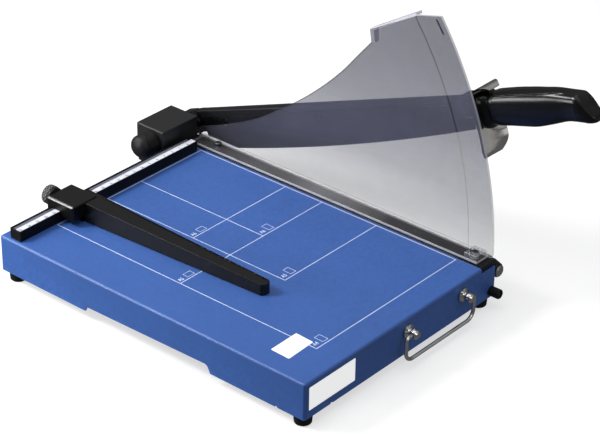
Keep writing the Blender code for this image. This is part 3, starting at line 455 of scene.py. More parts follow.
def plate(loops, plane, span, matrix=BASE):
    """A flat outline with its holes, as thick as span, standing in a plane."""
    curve = bpy.data.curves.new("outline", "CURVE")
    curve.dimensions = "2D"
    curve.fill_mode = "BOTH"
    curve.extrude = (span[1] - span[0]) / 2 * MM
    for points in loops:
        spline = curve.splines.new("POLY")
        spline.points.add(len(points) - 1)
        for point, (u, v) in zip(spline.points, points):
            point.co = (u * MM, v * MM, 0.0, 1.0)
        spline.use_cyclic_u = True
    middle = (span[0] + span[1]) / 2
    place = {"YZ": (middle, 0, 0), "XZ": (0, middle, 0), "XY": (0, 0, middle)}[plane]
    holder = temp(curve, Matrix.Identity(4))
    mesh = evaluated(holder)
    mesh.transform(Matrix.Translation(Vector(place) * MM) @ PLANE[plane])
    bpy.data.objects.remove(holder, do_unlink=True)
    bm = bmesh.new()
    bm.from_mesh(mesh)
    bmesh.ops.remove_doubles(bm, verts=bm.verts, dist=1e-7)
    bmesh.ops.dissolve_limit(bm, angle_limit=math.radians(0.2), verts=bm.verts, edges=bm.edges)
    bmesh.ops.recalc_face_normals(bm, faces=bm.faces)
    return temp(to_mesh(bm), matrix)


def evaluated(made):
    bpy.context.view_layer.update()
    graph = bpy.context.evaluated_depsgraph_get()
    return bpy.data.meshes.new_from_object(made.evaluated_get(graph), depsgraph=graph)


def cut(made, *others, operation="DIFFERENCE"):
    """Booleans applied one after the other; the helpers are used up."""
    for other in others:
        step = made.modifiers.new("cut", "BOOLEAN")
        step.operation = operation
        step.object = other
        step.solver = "EXACT"
    mesh = evaluated(made)
    matrix = made.matrix_world.copy()
    for old in (made, *others):
        bpy.data.objects.remove(old, do_unlink=True)
    bm = bmesh.new()
    bm.from_mesh(mesh)
    bmesh.ops.remove_doubles(bm, verts=bm.verts, dist=2e-7)
    bmesh.ops.dissolve_limit(bm, angle_limit=math.radians(0.3), verts=bm.verts, edges=bm.edges)
    return temp(to_mesh(bm), matrix)


def join(made, *others):
    return cut(made, *others, operation="UNION")


def soften(made, width, segments=3, angle=30.0):
    """Breaks the sharp edges of a helper."""
    step = made.modifiers.new("edges", "BEVEL")
    step.limit_method = "ANGLE"
    step.angle_limit = math.radians(angle)
    step.width = width * MM
    step.segments = segments
    step.use_clamp_overlap = True
    step.miter_outer = "MITER_ARC"
    mesh = evaluated(made)
    matrix = made.matrix_world.copy()
    bpy.data.objects.remove(made, do_unlink=True)
    return temp(mesh, matrix)


def piece(name, made, finish, body, stands_for=(), sharp=32.0, weighted=True):
    """Turns a helper into a named piece in world metres that rides on a body."""
    mesh = made.data if not made.modifiers else evaluated(made)
    mesh = mesh.copy()
    mesh.transform(made.matrix_world)
    bpy.data.objects.remove(made, do_unlink=True)
    mesh.name = name
    mesh.materials.clear()
    for each in (finish if isinstance(finish, (list, tuple)) else [finish]):
        mesh.materials.append(each.mat)
    mesh.shade_smooth()
    mesh.set_sharp_from_angle(angle=math.radians(sharp))
    obj = bpy.data.objects.new(name, mesh)
    bpy.context.scene.collection.objects.link(obj)
    if weighted:
        normals = obj.modifiers.new("normals", "WEIGHTED_NORMAL")
        normals.keep_sharp = True
    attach(obj, body)
    if stands_for:
        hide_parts(*stands_for)
    return obj


def circle(centre, radius, count, start=0.0, end=360.0):
    whole = abs(end - start) >= 360
    steps = count if whole else count - 1
    return [(centre[0] + radius * math.cos(math.radians(start + (end - start) * i / steps)),
             centre[1] + radius * math.sin(math.radians(start + (end - start) * i / steps)))
            for i in range(count)]


def rounded(points, radius, steps=6):
    out = []
    count = len(points)
    for i, corner in enumerate(points):
        r = radius[i] if isinstance(radius, (list, tuple)) else radius
        here = Vector(corner)
        if not r:
            out.append(tuple(here))
            continue
        before = (Vector(points[i - 1]) - here).normalized()
        after = (Vector(points[(i + 1) % count]) - here).normalized()
        half = before.angle(after) / 2
        centre = here + (before + after).normalized() * (r / math.sin(half))
        first, last = here + before * (r / math.tan(half)) - centre, here + after * (r / math.tan(half)) - centre
        turn = first.angle_signed(last)
        for k in range(steps + 1):
            a = -turn * k / steps
            out.append((centre.x + first.x * math.cos(a) - first.y * math.sin(a),
                        centre.y + first.x * math.sin(a) + first.y * math.cos(a)))
    return out


def hexagon(radius, turn=0.0):
    return circle((0, 0), radius, 6, turn, turn + 360)


def upright_or_top(edge):
    a, b = edge.verts[0].co, edge.verts[1].co
    return abs(a.z - b.z) > 1e-6 or (a.z > 0 and b.z > 0)


def dressed(name, finish, sharp=32.0, bevel=0.0):
    """A carried-over CAD node: welded, its edges broken a little, and given its finish."""
    node = frame["nodes"][name]
    mesh = node.data
    if "custom_normal" in mesh.attributes:
        mesh.attributes.remove(mesh.attributes["custom_normal"])
    mesh.polygons.foreach_set("use_smooth", [True] * len(mesh.polygons))
    mesh.materials.clear()
    mesh.materials.append(finish.mat)
    weld = node.modifiers.new("weld", "WELD")
    weld.merge_threshold = 0.000004
    flat = node.modifiers.new("flat", "DECIMATE")
    flat.decimate_type = "DISSOLVE"
    flat.angle_limit = math.radians(0.4)
    if bevel:
        step = node.modifiers.new("edges", "BEVEL")
        step.limit_method = "ANGLE"
        step.angle_limit = math.radians(38.0)
        step.width = bevel * MM
        step.segments = 2
        step.use_clamp_overlap = True
    split = node.modifiers.new("smooth", "NODES")
    split.node_group = by_angle(sharp)
    return node


GROUPS = {}


def by_angle(angle):
    """Geometry nodes that shade a mesh smooth, with sharp edges above an angle."""
    if angle in GROUPS:
        return GROUPS[angle]
    group = bpy.data.node_groups.new(f"smooth_{angle:.0f}", "GeometryNodeTree")
    group.interface.new_socket("Geometry", in_out="INPUT", socket_type="NodeSocketGeometry")
    group.interface.new_socket("Geometry", in_out="OUTPUT", socket_type="NodeSocketGeometry")
    start, end = group.nodes.new("NodeGroupInput"), group.nodes.new("NodeGroupOutput")
    faces = group.nodes.new("GeometryNodeSetShadeSmooth")
    faces.domain = "FACE"
    edges = group.nodes.new("GeometryNodeSetShadeSmooth")
    edges.domain = "EDGE"
    edges.inputs["Shade Smooth"].default_value = False
    turn = group.nodes.new("GeometryNodeInputMeshEdgeAngle")
    over = group.nodes.new("FunctionNodeCompare")
    over.data_type = "FLOAT"
    over.operation = "GREATER_THAN"
    over.inputs[1].default_value = math.radians(angle)
    group.links.new(start.outputs[0], faces.inputs["Geometry"])
    group.links.new(faces.outputs["Geometry"], edges.inputs["Geometry"])
    group.links.new(turn.outputs["Unsigned Angle"], over.inputs[0])
    group.links.new(over.outputs["Result"], edges.inputs["Selection"])
    group.links.new(edges.outputs["Geometry"], end.inputs[0])
    GROUPS[angle] = group
    return group


# --------------------------------------------------------------- base tray
TABLE_X, TABLE_Y, SKIRT_Z, SHEET = (-255.5, -2.3), (-323.4, 23.6), -34.4, 1.5
BAR_X, BAR_Y, BAR_Z = (-23.2, -2.3), (-317.4, 23.3), (-6.0, -0.2)
FEET = {"front_left": (-246.6, -314.6), "front_right": (-13.5, -314.6),
        "rear_left": (-246.6, 12.0), "rear_right": (-13.5, 12.0)}
BAR_SCREWS, FENCE_SCREWS, KNIFE_SCREWS = (-245.0, -75.0), (-228.0, -62.0), (-282.0, -147.0, -12.0)
STUD_X, BAIL_Z, BUFFER, BRACKET_BOLTS = {"left": -125.6, "right": -50.6}, -12.3, (-9.0, -27.8), (-43.0, -22.0)
inner_x = (TABLE_X[0] + SHEET, TABLE_X[1] - SHEET)
inner_y = (TABLE_Y[0] + SHEET, TABLE_Y[1] - SHEET)


def upright(edge):
    return abs(edge.verts[0].co.z - edge.verts[1].co.z) > 1e-6


tray = block(TABLE_X, TABLE_Y, (SKIRT_Z, 0.0), 2.2, 8, upright_or_top)
side_opening = rounded([(-225.5, SKIRT_Z - 5), (-219.5, SKIRT_Z + 7.4), (-81.5, SKIRT_Z + 4.6),
                        (-77.5, SKIRT_Z - 5)], [0, 4.0, 1.5, 0])
cutters = [
    block((inner_x[0], BAR_X[0] - 1.8), inner_y, (SKIRT_Z + SHEET, -SHEET), 1.0, 3, upright_or_top),
    block((BAR_X[0] - 4, inner_x[1]), inner_y, (SKIRT_Z + SHEET, BAR_Z[0] - 0.3 - SHEET)),
    block(inner_x, inner_y, (SKIRT_Z - 2, SKIRT_Z + SHEET + 0.5), 27.0, 1, upright),
    block((BAR_X[0] - 0.3, 5), (TABLE_Y[0] - 5, TABLE_Y[1] + 5), (BAR_Z[0] - 0.3, 5)),
    plate([side_opening], "YZ", (TABLE_X[0] - 3, TABLE_X[0] + 3)),
    bar("X", (-293.8, SKIRT_Z), 1.3, (TABLE_X[0] - 3, TABLE_X[0] + 3), 16),
    bar("Y", (-221.8, SKIRT_Z), 1.3, (TABLE_Y[0] - 3, TABLE_Y[0] + 3), 16),
    block((TABLE_X[0] + 2.4, TABLE_X[0] + 2.8), (TABLE_Y[0] - 1, TABLE_Y[0] + 0.7), (SKIRT_Z - 1, -2.4)),
]
cutters += [bar("Z", spot, 2.2, (SKIRT_Z - 3, SKIRT_Z + 4), 24) for spot in FEET.values()]
cutters += [bar("Z", (-13.0, y), 2.1, (-12, -3), 24) for y in BAR_SCREWS]
cutters += [bar("Z", (x, 4.0), 2.1, (-6, 3), 24) for x in FENCE_SCREWS]
cutters += [bar("X", (y, -11.2), 2.0, (-8, 2), 24) for y in KNIFE_SCREWS]
cutters += [bar("Y", (x, BAIL_Z), 2.4, (TABLE_Y[0] - 4, TABLE_Y[0] + 4), 24) for x in STUD_X.values()]
cutters += [bar("Y", BUFFER, 1.9, (TABLE_Y[0] - 4, TABLE_Y[0] + 4), 24)]
cutters += [bar("Y", (x, -20.0), 2.9, (18, 28), 24) for x in BRACKET_BOLTS]
piece("base_tray_finished", cut(tray, *cutters), blue, "base", ["base_tray"])


# ------------------------------------------------------------ printed marks
def strips(rects, z, matrix=BASE):
    """Flat strips that may cross, made into one closed skin."""
    first, *rest = [block((x0, x1), (y0, y1), z, matrix=matrix) for x0, x1, y0, y1 in rects]
    return join(first, *rest) if rest else first


LINE = 0.37                                # half a printed line's width
INK = (-0.10, 0.05)
BLADE_LINE, FENCE_LINE = -25.6, -1.3


def across(y, x0, x1):
    return (x0 - LINE, x1 + LINE, y - LINE, y + LINE)


def along(x, y0, y1):
    return (x - LINE, x + LINE, y0 - LINE, y1 + LINE)


piece("printed_lines", strips([
    across(-1.3, -210, BLADE_LINE), along(BLADE_LINE, -297, -1.3),
    along(-105, -148, -1.3), along(-148, -210, -1.3), along(-210, -297, -1.3),
    across(-105, -148, BLADE_LINE), across(-148, -210, BLADE_LINE), across(-210, -148, BLADE_LINE),
    across(-297, -210, BLADE_LINE)], INK), white_ink, "base", weighted=False)

# Short marks every two and a half millimetres run along the bar beside the knife, as far as the A4 frame does.
marks = bmesh.new()
for place in [-296.0 + 2.5 * i for i in range(118)]:
    made = bmesh.ops.create_cube(marks, size=1.0)["verts"]
    bmesh.ops.scale(marks, vec=Vector((1.5, 0.62, 0.10)) * MM, verts=made)
    bmesh.ops.translate(marks, vec=Vector((-21.9, place, -0.21)) * MM, verts=made)
piece("edge_marks", temp(to_mesh(marks)), edge_ink, "base", weighted=False)


def lettering(words, size, where, finish, name, body="base", turn=0.0, depth=0.075, align="LEFT", stretch=1.0,
              z=-0.025, bold=0.0):
    """Plain marks, one mesh: words is [(text, (x, y))]."""
    meshes = []
    for text, (x, y) in words:
        curve = bpy.data.curves.new("text", "FONT")
        curve.body = text
        curve.size = size * MM
        curve.extrude = depth * MM
        curve.offset = bold * MM
        curve.align_x = align
        curve.resolution_u = 4
        holder = temp(curve, BASE @ Matrix.Translation(Vector((x, y, where + z)) * MM)
                      @ Matrix.Rotation(math.radians(turn), 4, "Z") @ Matrix.Diagonal((stretch, 1, 1, 1)))
        mesh = evaluated(holder)
        mesh.transform(holder.matrix_world)
        bpy.data.objects.remove(holder, do_unlink=True)
        meshes.append(mesh)
    bm = bmesh.new()
    for mesh in meshes:
        bm.from_mesh(mesh)
    bmesh.ops.remove_doubles(bm, verts=bm.verts, dist=1e-7)
    return piece(name, temp(to_mesh(bm), Matrix.Identity(4)), finish, body, weighted=False)


def icon(x, y, w, h, t=0.42):
    """A small sheet-of-paper outline: four strips round a rectangle."""
    return [(x, x + w, y, y + t), (x, x + w, y + h - t, y + h), (x, x + t, y + t, y + h - t),
            (x + w - t, x + w, y + t, y + h - t)]


MARKS = [("A6", -148, -105, True), ("A6", -105, -148, False), ("A5", -210, -148, True), ("A5", -148, -210, False),
         ("A4", -210, -297, False)]
lettering([(text, (x + 2.4, y + (2.2 if wide else 3.4))) for text, x, y, wide in MARKS], 5.9, 0.0, white_ink,
          "printed_sizes", stretch=0.78, bold=0.07)
for number, (text, x, y, wide) in enumerate(MARKS, 1):
    corner = (x + 11.6, y + 2.2) if wide else (x + 11.0, y + 2.6)
    piece(f"printed_icon_{number}", strips(icon(*corner, *((8.6, 6.2) if wide else (6.6, 9.4))), INK), white_ink,
          "base", weighted=False)


def sheet_label(name, corners, normal_out, thick, body="base", finish=None):
    """A thin blank label from its four corners in the drawing frame."""
    bm = bmesh.new()
    low = [bm.verts.new(Vector(c) * MM) for c in corners]
    high = [bm.verts.new((Vector(c) + Vector(normal_out) * thick) * MM) for c in corners]
    bm.faces.new(list(reversed(low)))
    bm.faces.new(high)
    for i in range(4):
        j = (i + 1) % 4
        bm.faces.new((low[i], low[j], high[j], high[i]))
    bmesh.ops.recalc_face_normals(bm, faces=bm.faces)
    rims = [e for e in bm.edges if (e.verts[0] in low) != (e.verts[1] in low)]
    bmesh.ops.bevel(bm, geom=rims, offset=0.8 * MM, segments=4, profile=0.5, affect="EDGES")
    return piece(name, temp(to_mesh(bm)), finish or blank_label, body, weighted=False)


sheet_label("label_top", [(-235.6, -289.9, -0.05), (-204.5, -288.8, -0.05), (-203.6, -270.0, -0.05),
                          (-235.0, -270.4, -0.05)], (0, 0, 1), 0.16)
sheet_label("label_front", [(-250.0, TABLE_Y[0] + 0.05, -27.0), (-193.0, TABLE_Y[0] + 0.05, -27.0),
                            (-193.0, TABLE_Y[0] + 0.05, -5.5), (-250.0, TABLE_Y[0] + 0.05, -5.5)], (0, -1, 0), 0.16,
            finish=front_label_painted_glow)

# ------------------------------------------------------------------- fence
RAIL_X, RAIL_Y, RAIL_Z = (-252.5, -29.0), (0.0, 13.0), (0.3, 10.5)
rail = block(RAIL_X, RAIL_Y, RAIL_Z, 0.45, 3)
rail = cut(rail, block((-251.6, -29.9), (7.5, 11.7), (5.8, 9.6)), block((-251.6, -29.9), (7.5, 11.0), (9.5, 15)), block((-251.9, -29.6), (0.7, 7.0), (9.9, 15)),
           *[bar("Z", (x, 4.0), 1.95, (-2, 6.5), 24) for x in FENCE_SCREWS])
rail_piece = piece("fence_rail_finished", rail, [rail_coat, groove_lining_painted_shade], "base", ["fence_rail"])
# Groove faces take the shaded white: painted shade.
for face in rail_piece.data.polygons:
    middle = SHIFT.inverted() @ face.center / MM
    if 7.4 < middle.y < 11.8 and 5.5 < middle.z < 9.65 and abs(face.normal.x) < 0.5 and face.normal.z > -0.5:
        face.material_index = 1
piece("scale_strip_finished", block((RAIL_X[0] + 0.9, RAIL_X[1] - 0.9), (0.95, 6.75), (10.15, 10.62), 0.12, 2),
      scale_finish, "base", ["scale_strip"])

# The scale counts millimetres from the cutting edge, with a number each centimetre.
ticks = []
for mm in range(30, 252):
    long = 2.6 if mm % 10 == 0 else (1.9 if mm % 5 == 0 else 1.25)
    half = 0.16 if mm % 10 == 0 else 0.10
    ticks.append(((-mm - half, -mm + half), (6.7 - long, 6.7)))
bm = bmesh.new()
for (x0, x1), (y0, y1) in ticks:
    made = bmesh.ops.create_cube(bm, size=1.0)["verts"]
    bmesh.ops.scale(bm, vec=Vector((x1 - x0, y1 - y0, 0.10)) * MM, verts=made)
    bmesh.ops.translate(bm, vec=Vector(((x0 + x1) / 2, (y0 + y1) / 2, 10.60)) * MM, verts=made)
piece("scale_ticks", temp(to_mesh(bm)), pale_ink, "base", weighted=False)
lettering([(str(n), (-10 * n, 1.3)) for n in range(3, 26)], 3.5, 10.62, grey_ink, "scale_numbers",
          align="CENTER", stretch=0.95, z=-0.02, depth=0.05, bold=0.06)

# --------------------------------------------------------------- side stop
STOP_RULE_X, STOP_TOP, STOP_END_Y, KNOB_X, KNOB_Z = -169.2, 20.0, -213.8, -194.0, 14.4
bm = bmesh.new()
bmesh.ops.create_cube(bm, size=1.0)
for vert in bm.verts:
    far, left, top = vert.co.y < 0, vert.co.x < 0, vert.co.z > 0
    vert.co = Vector((((-180.3 if far else -191.3) if left else STOP_RULE_X) + (0.0 if not top or not left else 0.6),
                      STOP_END_Y if far else -1.0,
                      (10.6 if far else 19.2) if top else 0.4)) * MM
corner = [e for e in bm.edges if e.verts[0].co.y < -0.2 and e.verts[1].co.y < -0.2
          and abs(e.verts[0].co.z - e.verts[1].co.z) > 0.001]
bmesh.ops.bevel(bm, geom=corner, offset=4.0 * MM, segments=6, profile=0.5, affect="EDGES")
ruling = [e for e in bm.edges if min(v.co.z for v in e.verts) > 0.005
          and max(abs(v.co.x / MM - STOP_RULE_X) for v in e.verts) < 0.01]
bmesh.ops.bevel(bm, geom=ruling, offset=2.8 * MM, segments=3, profile=0.5, affect="EDGES")
bmesh.ops.dissolve_limit(bm, angle_limit=math.radians(0.3), verts=bm.verts, edges=bm.edges)
rule = soften(temp(to_mesh(bm)), 1.3, 5, 22.0)
stop = block((-205.0, -174.5), (-16.0, 16.8), (0.4, STOP_TOP), 1.7, 5)
seat = plate([[(u + KNOB_X, v + KNOB_Z) for u, v in hexagon(4.5, 30)]], "XZ", (12.0, 15.6))
stop = join(stop, rule)
stop = cut(stop, block((-215, -160), (-0.5, 13.4), (-5, 10.95)))
stop = join(stop, block((-187.0, -177.0), (7.9, 10.5), (6.3, 12.5)))
stop = cut(stop, block((KNOB_X - 5.0, KNOB_X + 5.0), (7.5, 12.6), (5.0, 18.7)))
stop = cut(stop, block((-215, -191.6), (-25, -0.4), (-5, 6.0)))
stop = cut(stop, seat)
stop = cut(stop, bar("Y", (KNOB_X, KNOB_Z), 2.4, (12, 20), 24))
stop_piece = piece("side_stop_finished", stop, [black_plastic, painted_highlight_plastic], "stop", ["side_stop"])
# Faces on the block's top-left edge that face the key light: a painted highlight.
for face in stop_piece.data.polygons:
    middle = SHIFT.inverted() @ face.center / MM
    if face.normal.dot(Vector((-0.7071, 0.0, 0.7071))) > 0.80 and middle.x < -202.5 and middle.z > 17.5:
        face.material_index = 1

CROSSINGS, TURNS, PITCH = 16, 16 * 12, 2.9


def knurl(a, y):
    """0 on the crest lines of the diamond knurl, rising to 1 in its hollows."""
    u, v = a / (2 * math.pi) * CROSSINGS, (y + 1.3) / PITCH
    return min(abs((u + v) % 1.0 - 0.5), abs((u - v) % 1.0 - 0.5)) * 2



bm = bmesh.new()
knob_rings = []
for level in range(33):
    y = -1.3 + 6.7 * level / 32
    inset = max(0.0, 0.7 - min(level, 32 - level) * 0.21)
    ring = []
    for i in range(TURNS):
        a = 2 * math.pi * i / TURNS
        reach = 8.95 - 0.60 * min(knurl(a, y) * 2.0, 1.0) - inset
        ring.append(bm.verts.new(Vector((reach * math.cos(a), y, reach * math.sin(a))) * MM))
    knob_rings.append(ring)
for near, far in zip(knob_rings, knob_rings[1:]):
    for i in range(TURNS):
        j = (i + 1) % TURNS
        bm.faces.new((near[i], near[j], far[j], far[i]))
bm.faces.new(knob_rings[0])
bm.faces.new(knob_rings[-1])
bmesh.ops.recalc_face_normals(bm, faces=bm.faces)
knob = temp(to_mesh(bm), KNOB)
knob = join(knob, lathe([(0, -0.9), (8.0, -0.9), (8.4, -1.3), (8.4, -3.4), (8.0, -3.8), (0, -3.8)][::-1], "Y", (0, 0),
                        64, matrix=KNOB))
knob = cut(knob, bar("Y", (0, 0), 2.3, (-6.0, 3.0), 24, matrix=KNOB),
           lathe([(0, 5.9), (5.6, 5.9), (5.2, 4.7), (0, 4.7)], "Y", (0, 0), 48, matrix=KNOB))
knob_piece = piece("stop_knob_finished", knob, [knurled_plastic, knurl_ridge_wear_and_highlight], "knob", ["stop_knob"], sharp=60.0,
                   weighted=False)
# The knurl's crests take the light grey: wear and a painted highlight.
for face in knob_piece.data.polygons:
    middle = KNOB.inverted() @ face.center / MM
    if math.hypot(middle.x, middle.z) > 8.15 and -1.0 < middle.y < 5.1 \
            and knurl(math.atan2(middle.z, middle.x) % (2 * math.pi), middle.y) < 0.17:
        face.material_index = 1

# ------------------------------------------------------------------- pivot
PIVOT = (30.0, 11.5)
cover = block((-58.5, -11.5), (15.5, 49.5), (0.4, 25.0), 1.4, 5, upright_or_top)
cover = cut(cover, block((-57.1, -12.9), (16.9, 48.1), (-4, 23.6), 0.8, 2, upright_or_top),
            bar("X", PIVOT, 9.0, (-62, -50), 64), bar("X", PIVOT, 6.5, (-20, -5), 48))
piece("pivot_cover_finished", cover, cover_plastic, "base", ["pivot_cover"])

profile = [(10.6, -58.9), (11.0, -59.3), (11.0, -71.3), (10.5, -71.6), (10.5, -72.2), (11.0, -72.5)]
profile += [(11.0 * math.cos(a), -72.8 - 7.2 * math.sin(a)) for a in [math.radians(7.5 * i) for i in range(1, 12)]]
profile += [(0.0, -80.0), (0.0, -78.2)]
profile += [(9.5 * math.cos(a), -72.4 - 5.8 * math.sin(a)) for a in [math.radians(7.5 * i) for i in range(11, 0, -1)]]
profile += [(9.5, -72.4), (9.5, -58.9)]
cap = join(lathe(profile, "X", PIVOT, 96, closed=True), block((-71.0, -59.2), (24.4, 35.6), (-4.5, 1.4), 0.5, 2))
piece("pivot_cap_finished", cap, cap_plastic, "base", ["pivot_cap"])

# --------------------------------------------------------------- blade arm
ARM_TOP, ARM_X = 7.3, (2.3, 12.3)
arm_outline = rounded([(22.0, ARM_TOP), (22.0, -13.5), (-180.0, -12.0), (-329.5, -9.0), (-329.5, ARM_TOP)],
                      [8.0, 5.0, 0, 0, 0], 10)
arm = plate([arm_outline], "YZ", ARM_X, ARM)
bm = bmesh.new()
bm.from_mesh(arm.data)
crown = [e for e in bm.edges if all(abs(v.co.x / MM - ARM_X[0]) < 0.01 and abs(v.co.z / MM - ARM_TOP) < 0.01
                                    for v in e.verts)]
bmesh.ops.bevel(bm, geom=crown, offset=5.0 * MM, segments=10, profile=0.5, affect="EDGES")
bpy.data.objects.remove(arm, do_unlink=True)
arm = soften(temp(to_mesh(bm), ARM), 0.9, 3, 25.0)
arm = cut(arm, bar("X", (0, 0), 7.6, (0, 15), 64, matrix=ARM))
arm = join(arm, block((6.4, 12.0), (-428.0, -328.0), (-8.0, 1.0), matrix=ARM))
arm = cut(arm, bar("Y", (9.2, -3.5), 2.05, (-440, -410), 24, matrix=ARM),
          *[bar("X", (-s, -4.0), 2.0, (0, 8.5), 24, matrix=ARM) for s in (40.0, 160.0, 280.0)])
piece("blade_arm_finished", arm, black_coat, "arm", ["blade_arm"])


def blade_edge(s):
    return -31.2 + 2.35e-4 * (s - 118.0) ** 2


# The blade is hollow-ground: a bright bevel runs along the cutting edge.
bm = bmesh.new()
stations = [11.5] + [14.0 + 323.0 * i / 80 for i in range(81)]
rows = []
for s in stations:
    low = blade_edge(s) + (3.0 if s == 11.5 else 0.0)
    high = 2.0 if s < 327.0 else -9.85
    rows.append([bm.verts.new(Vector((x, -s, h)) * MM) for x, h in
                 ((0.3, low), (0.3, high), (2.1, high), (2.1, low + 5.5), (0.75, low))])
for near, far in zip(rows, rows[1:]):
    for i in range(5):
        j = (i + 1) % 5
        bm.faces.new((near[i], near[j], far[j], far[i]))
bm.faces.new(list(reversed(rows[0])))
bm.faces.new(rows[-1])
bmesh.ops.recalc_face_normals(bm, faces=bm.faces)
blade = temp(to_mesh(bm), ARM)
holes = []
for s in (40.0, 160.0, 280.0):
    holes += [bar("X", (-s, -4.0), 3.9, (0.25, 2.15), 32, r2=2.1, matrix=ARM),
              bar("X", (-s, -4.0), 2.1, (-1, 4), 32, matrix=ARM)]
piece("cutting_blade_finished", cut(blade, *holes), knife_steel, "arm", ["cutting_blade"], sharp=12.0)

# ------------------------------------------------- collar, guard and grip
collar = block((0.6, 14.8), (-336.5, -328.4), (-9.6, 10.2), 1.2, 5, matrix=ARM)
collar = cut(collar, block((6.0, 12.4), (-350, -325), (-8.4, 1.4), matrix=ARM),
             block((1.9, 12.7), (-329.9, -325), (-9.4, 7.7), matrix=ARM))
piece("handle_collar_finished", collar, black_plastic, "arm", ["handle_collar"])

GUARD_X = (1.0, 32.0)


def flowing(points, count=4):
    """A smooth line through points."""
    out = []
    for i in range(len(points) - 1):
        p0, p1, p2, p3 = (points[max(i - 1, 0)], points[i], points[i + 1], points[min(i + 2, len(points) - 1)])
        for k in range(count):
            t = k / count
            out.append(tuple(
                0.5 * (2 * b + (c - a) * t + (2 * a - 5 * b + 4 * c - d) * t * t + (3 * b - a - 3 * c + d) * t ** 3)
                for a, b, c, d in zip(p0, p1, p2, p3)))
    return out + [points[-1]]


GUARD_LINE = flowing([(-47.4, 336.3), (-46.2, 336.6), (-43.0, 337.3), (-36.5, 338.1), (-31.0, 338.5), (-25.0, 338.7),
                      (-19.0, 338.4), (-14.0, 338.1), (-8.0, 338.0), (-1.0, 338.0), (4.0, 338.1), (7.4, 338.4),
                      (9.6, 339.2), (11.4, 341.0), (12.8, 343.8), (13.8, 347.0), (14.0, 349.8), (13.4, 352.2),
                      (12.2, 353.9), (10.5, 354.9)], 3)
COLUMNS = [0.0, 0.02, 0.05, 0.1, 0.17, 0.25, 0.33, 0.42, 0.5, 0.58, 0.67, 0.75, 0.83, 0.9, 0.95, 0.98, 1.0]
bm = bmesh.new()
guard_rows = []
for number, (h, along_arm) in enumerate(GUARD_LINE):
    below = min(max((-22.5 - h) / 7.0, 0.0), 1.0) * min(max((h + 52.0) / 16.0, 0.0), 1.0)
    low = min(max((-38.0 - h) / 9.4, 0.0), 1.0)
    high = min(max((along_arm - 343.0) / 11.9, 0.0), 1.0) if h > 0 else 0.0
    left = GUARD_X[0] + 2.4 * low ** 2.5 + 7.0 * high ** 3.0
    right = GUARD_X[1] - 6.0 * low ** 2.2 - 2.4 * min(max((h - 6.0) / 6.0, 0.0), 1.0) - 8.0 * high ** 2.0
    row = []
    for column in COLUMNS:
        x = left + (right - left) * column
        over = (x - GUARD_X[0]) / (GUARD_X[1] - GUARD_X[0])
        row.append(bm.verts.new(Vector((x, -(along_arm + 5.2 * over ** 2 * below), h)) * MM))
    guard_rows.append(row)
for near, far in zip(guard_rows, guard_rows[1:]):
    for i in range(len(COLUMNS) - 1):
        bm.faces.new((near[i], near[i + 1], far[i + 1], far[i]))
guard = temp(to_mesh(bm), ARM)
skin = guard.modifiers.new("sheet", "SOLIDIFY")
skin.thickness = 1.6 * MM
skin.offset = 0.0
guard = temp(evaluated(guard), ARM)
for old in [o for o in bpy.context.scene.objects if o.name.startswith("helper") and o is not guard
            and o.modifiers and o.modifiers[0].name == "sheet"]:
    bpy.data.objects.remove(old, do_unlink=True)
guard = soften(guard, 0.6, 4, 50.0)
guard = cut(guard, block((6.0, 12.4), (-360, -330), (-8.4, 1.4), matrix=ARM))
guard_piece = piece("hand_guard_finished", guard, [nickel, black_plastic], "arm", ["hand_guard"])
# The sheet's cut edges, its lower end and the end of its top curl take black plastic: painted shade that draws a dark
# outline round the nickel guard.
for face in guard_piece.data.polygons:
    middle = ARM.inverted() @ face.center / MM
    facing = ARM.to_3x3().inverted() @ face.normal
    if abs(facing.x) > 0.5 or middle.z < -46.9 or middle.z > 5 and middle.y < -354.3 and facing.z < 0.3:
        face.material_index = 1

# (distance along the arm, centre height, half width, half height, how deep the side panel is let in)
GRIP = [(341.0, -6.6, 10.9, 14.3, 0), (341.4, -6.65, 11.7, 15.1, 0), (342.2, -6.75, 12.3, 15.9, 0),
        (343.6, -6.8, 12.5, 16.3, 0), (346.6, -6.8, 12.5, 16.4, 0), (348.0, -6.7, 12.3, 16.1, 0),
        (349.2, -6.5, 11.6, 15.4, 0), (350.2, -6.1, 10.9, 14.5, 0), (351.4, -5.9, 10.5, 14.0, 0),
        (352.8, -5.85, 10.5, 14.1, 0), (354.4, -5.8, 10.7, 14.4, 0.1), (356.2, -5.8, 10.95, 14.8, 0.55),
        (358.0, -5.8, 11.2, 15.2, 0.9), (364.0, -5.85, 11.4, 15.45, 1), (370.0, -5.9, 11.5, 15.6, 1),
        (376.0, -6.1, 11.5, 15.9, 1), (383.0, -6.4, 11.5, 16.1, 1), (389.0, -6.75, 11.5, 16.25, 1),
        (395.0, -7.0, 11.4, 16.3, 1), (401.0, -7.0, 11.3, 15.95, 1), (407.0, -6.9, 11.2, 15.4, 1),
        (413.5, -6.7, 11.1, 14.8, 1), (420.0, -6.6, 11.0, 14.0, 1), (426.0, -6.6, 10.9, 13.1, 1),
        (432.0, -7.0, 10.9, 12.6, 0.85), (438.0, -7.8, 10.8, 12.5, 0.35), (440.6, -8.2, 10.7, 12.5, 0.0),
        (443.0, -8.7, 10.6, 12.4, 0), (445.3, -10.0, 10.35, 11.5, 0), (447.4, -11.6, 10.0, 10.4, 0),
        (449.3, -13.3, 9.55, 8.8, 0), (451.0, -15.0, 9.0, 7.2, 0), (452.9, -16.4, 8.2, 5.6, 0),
        (454.5, -17.6, 7.2, 4.2, 0), (455.7, -18.3, 6.1, 3.0, 0), (456.4, -18.8, 4.6, 1.9, 0)]
GRIP_X, RIDGE, SIDES = 14.5, 7.4, 160


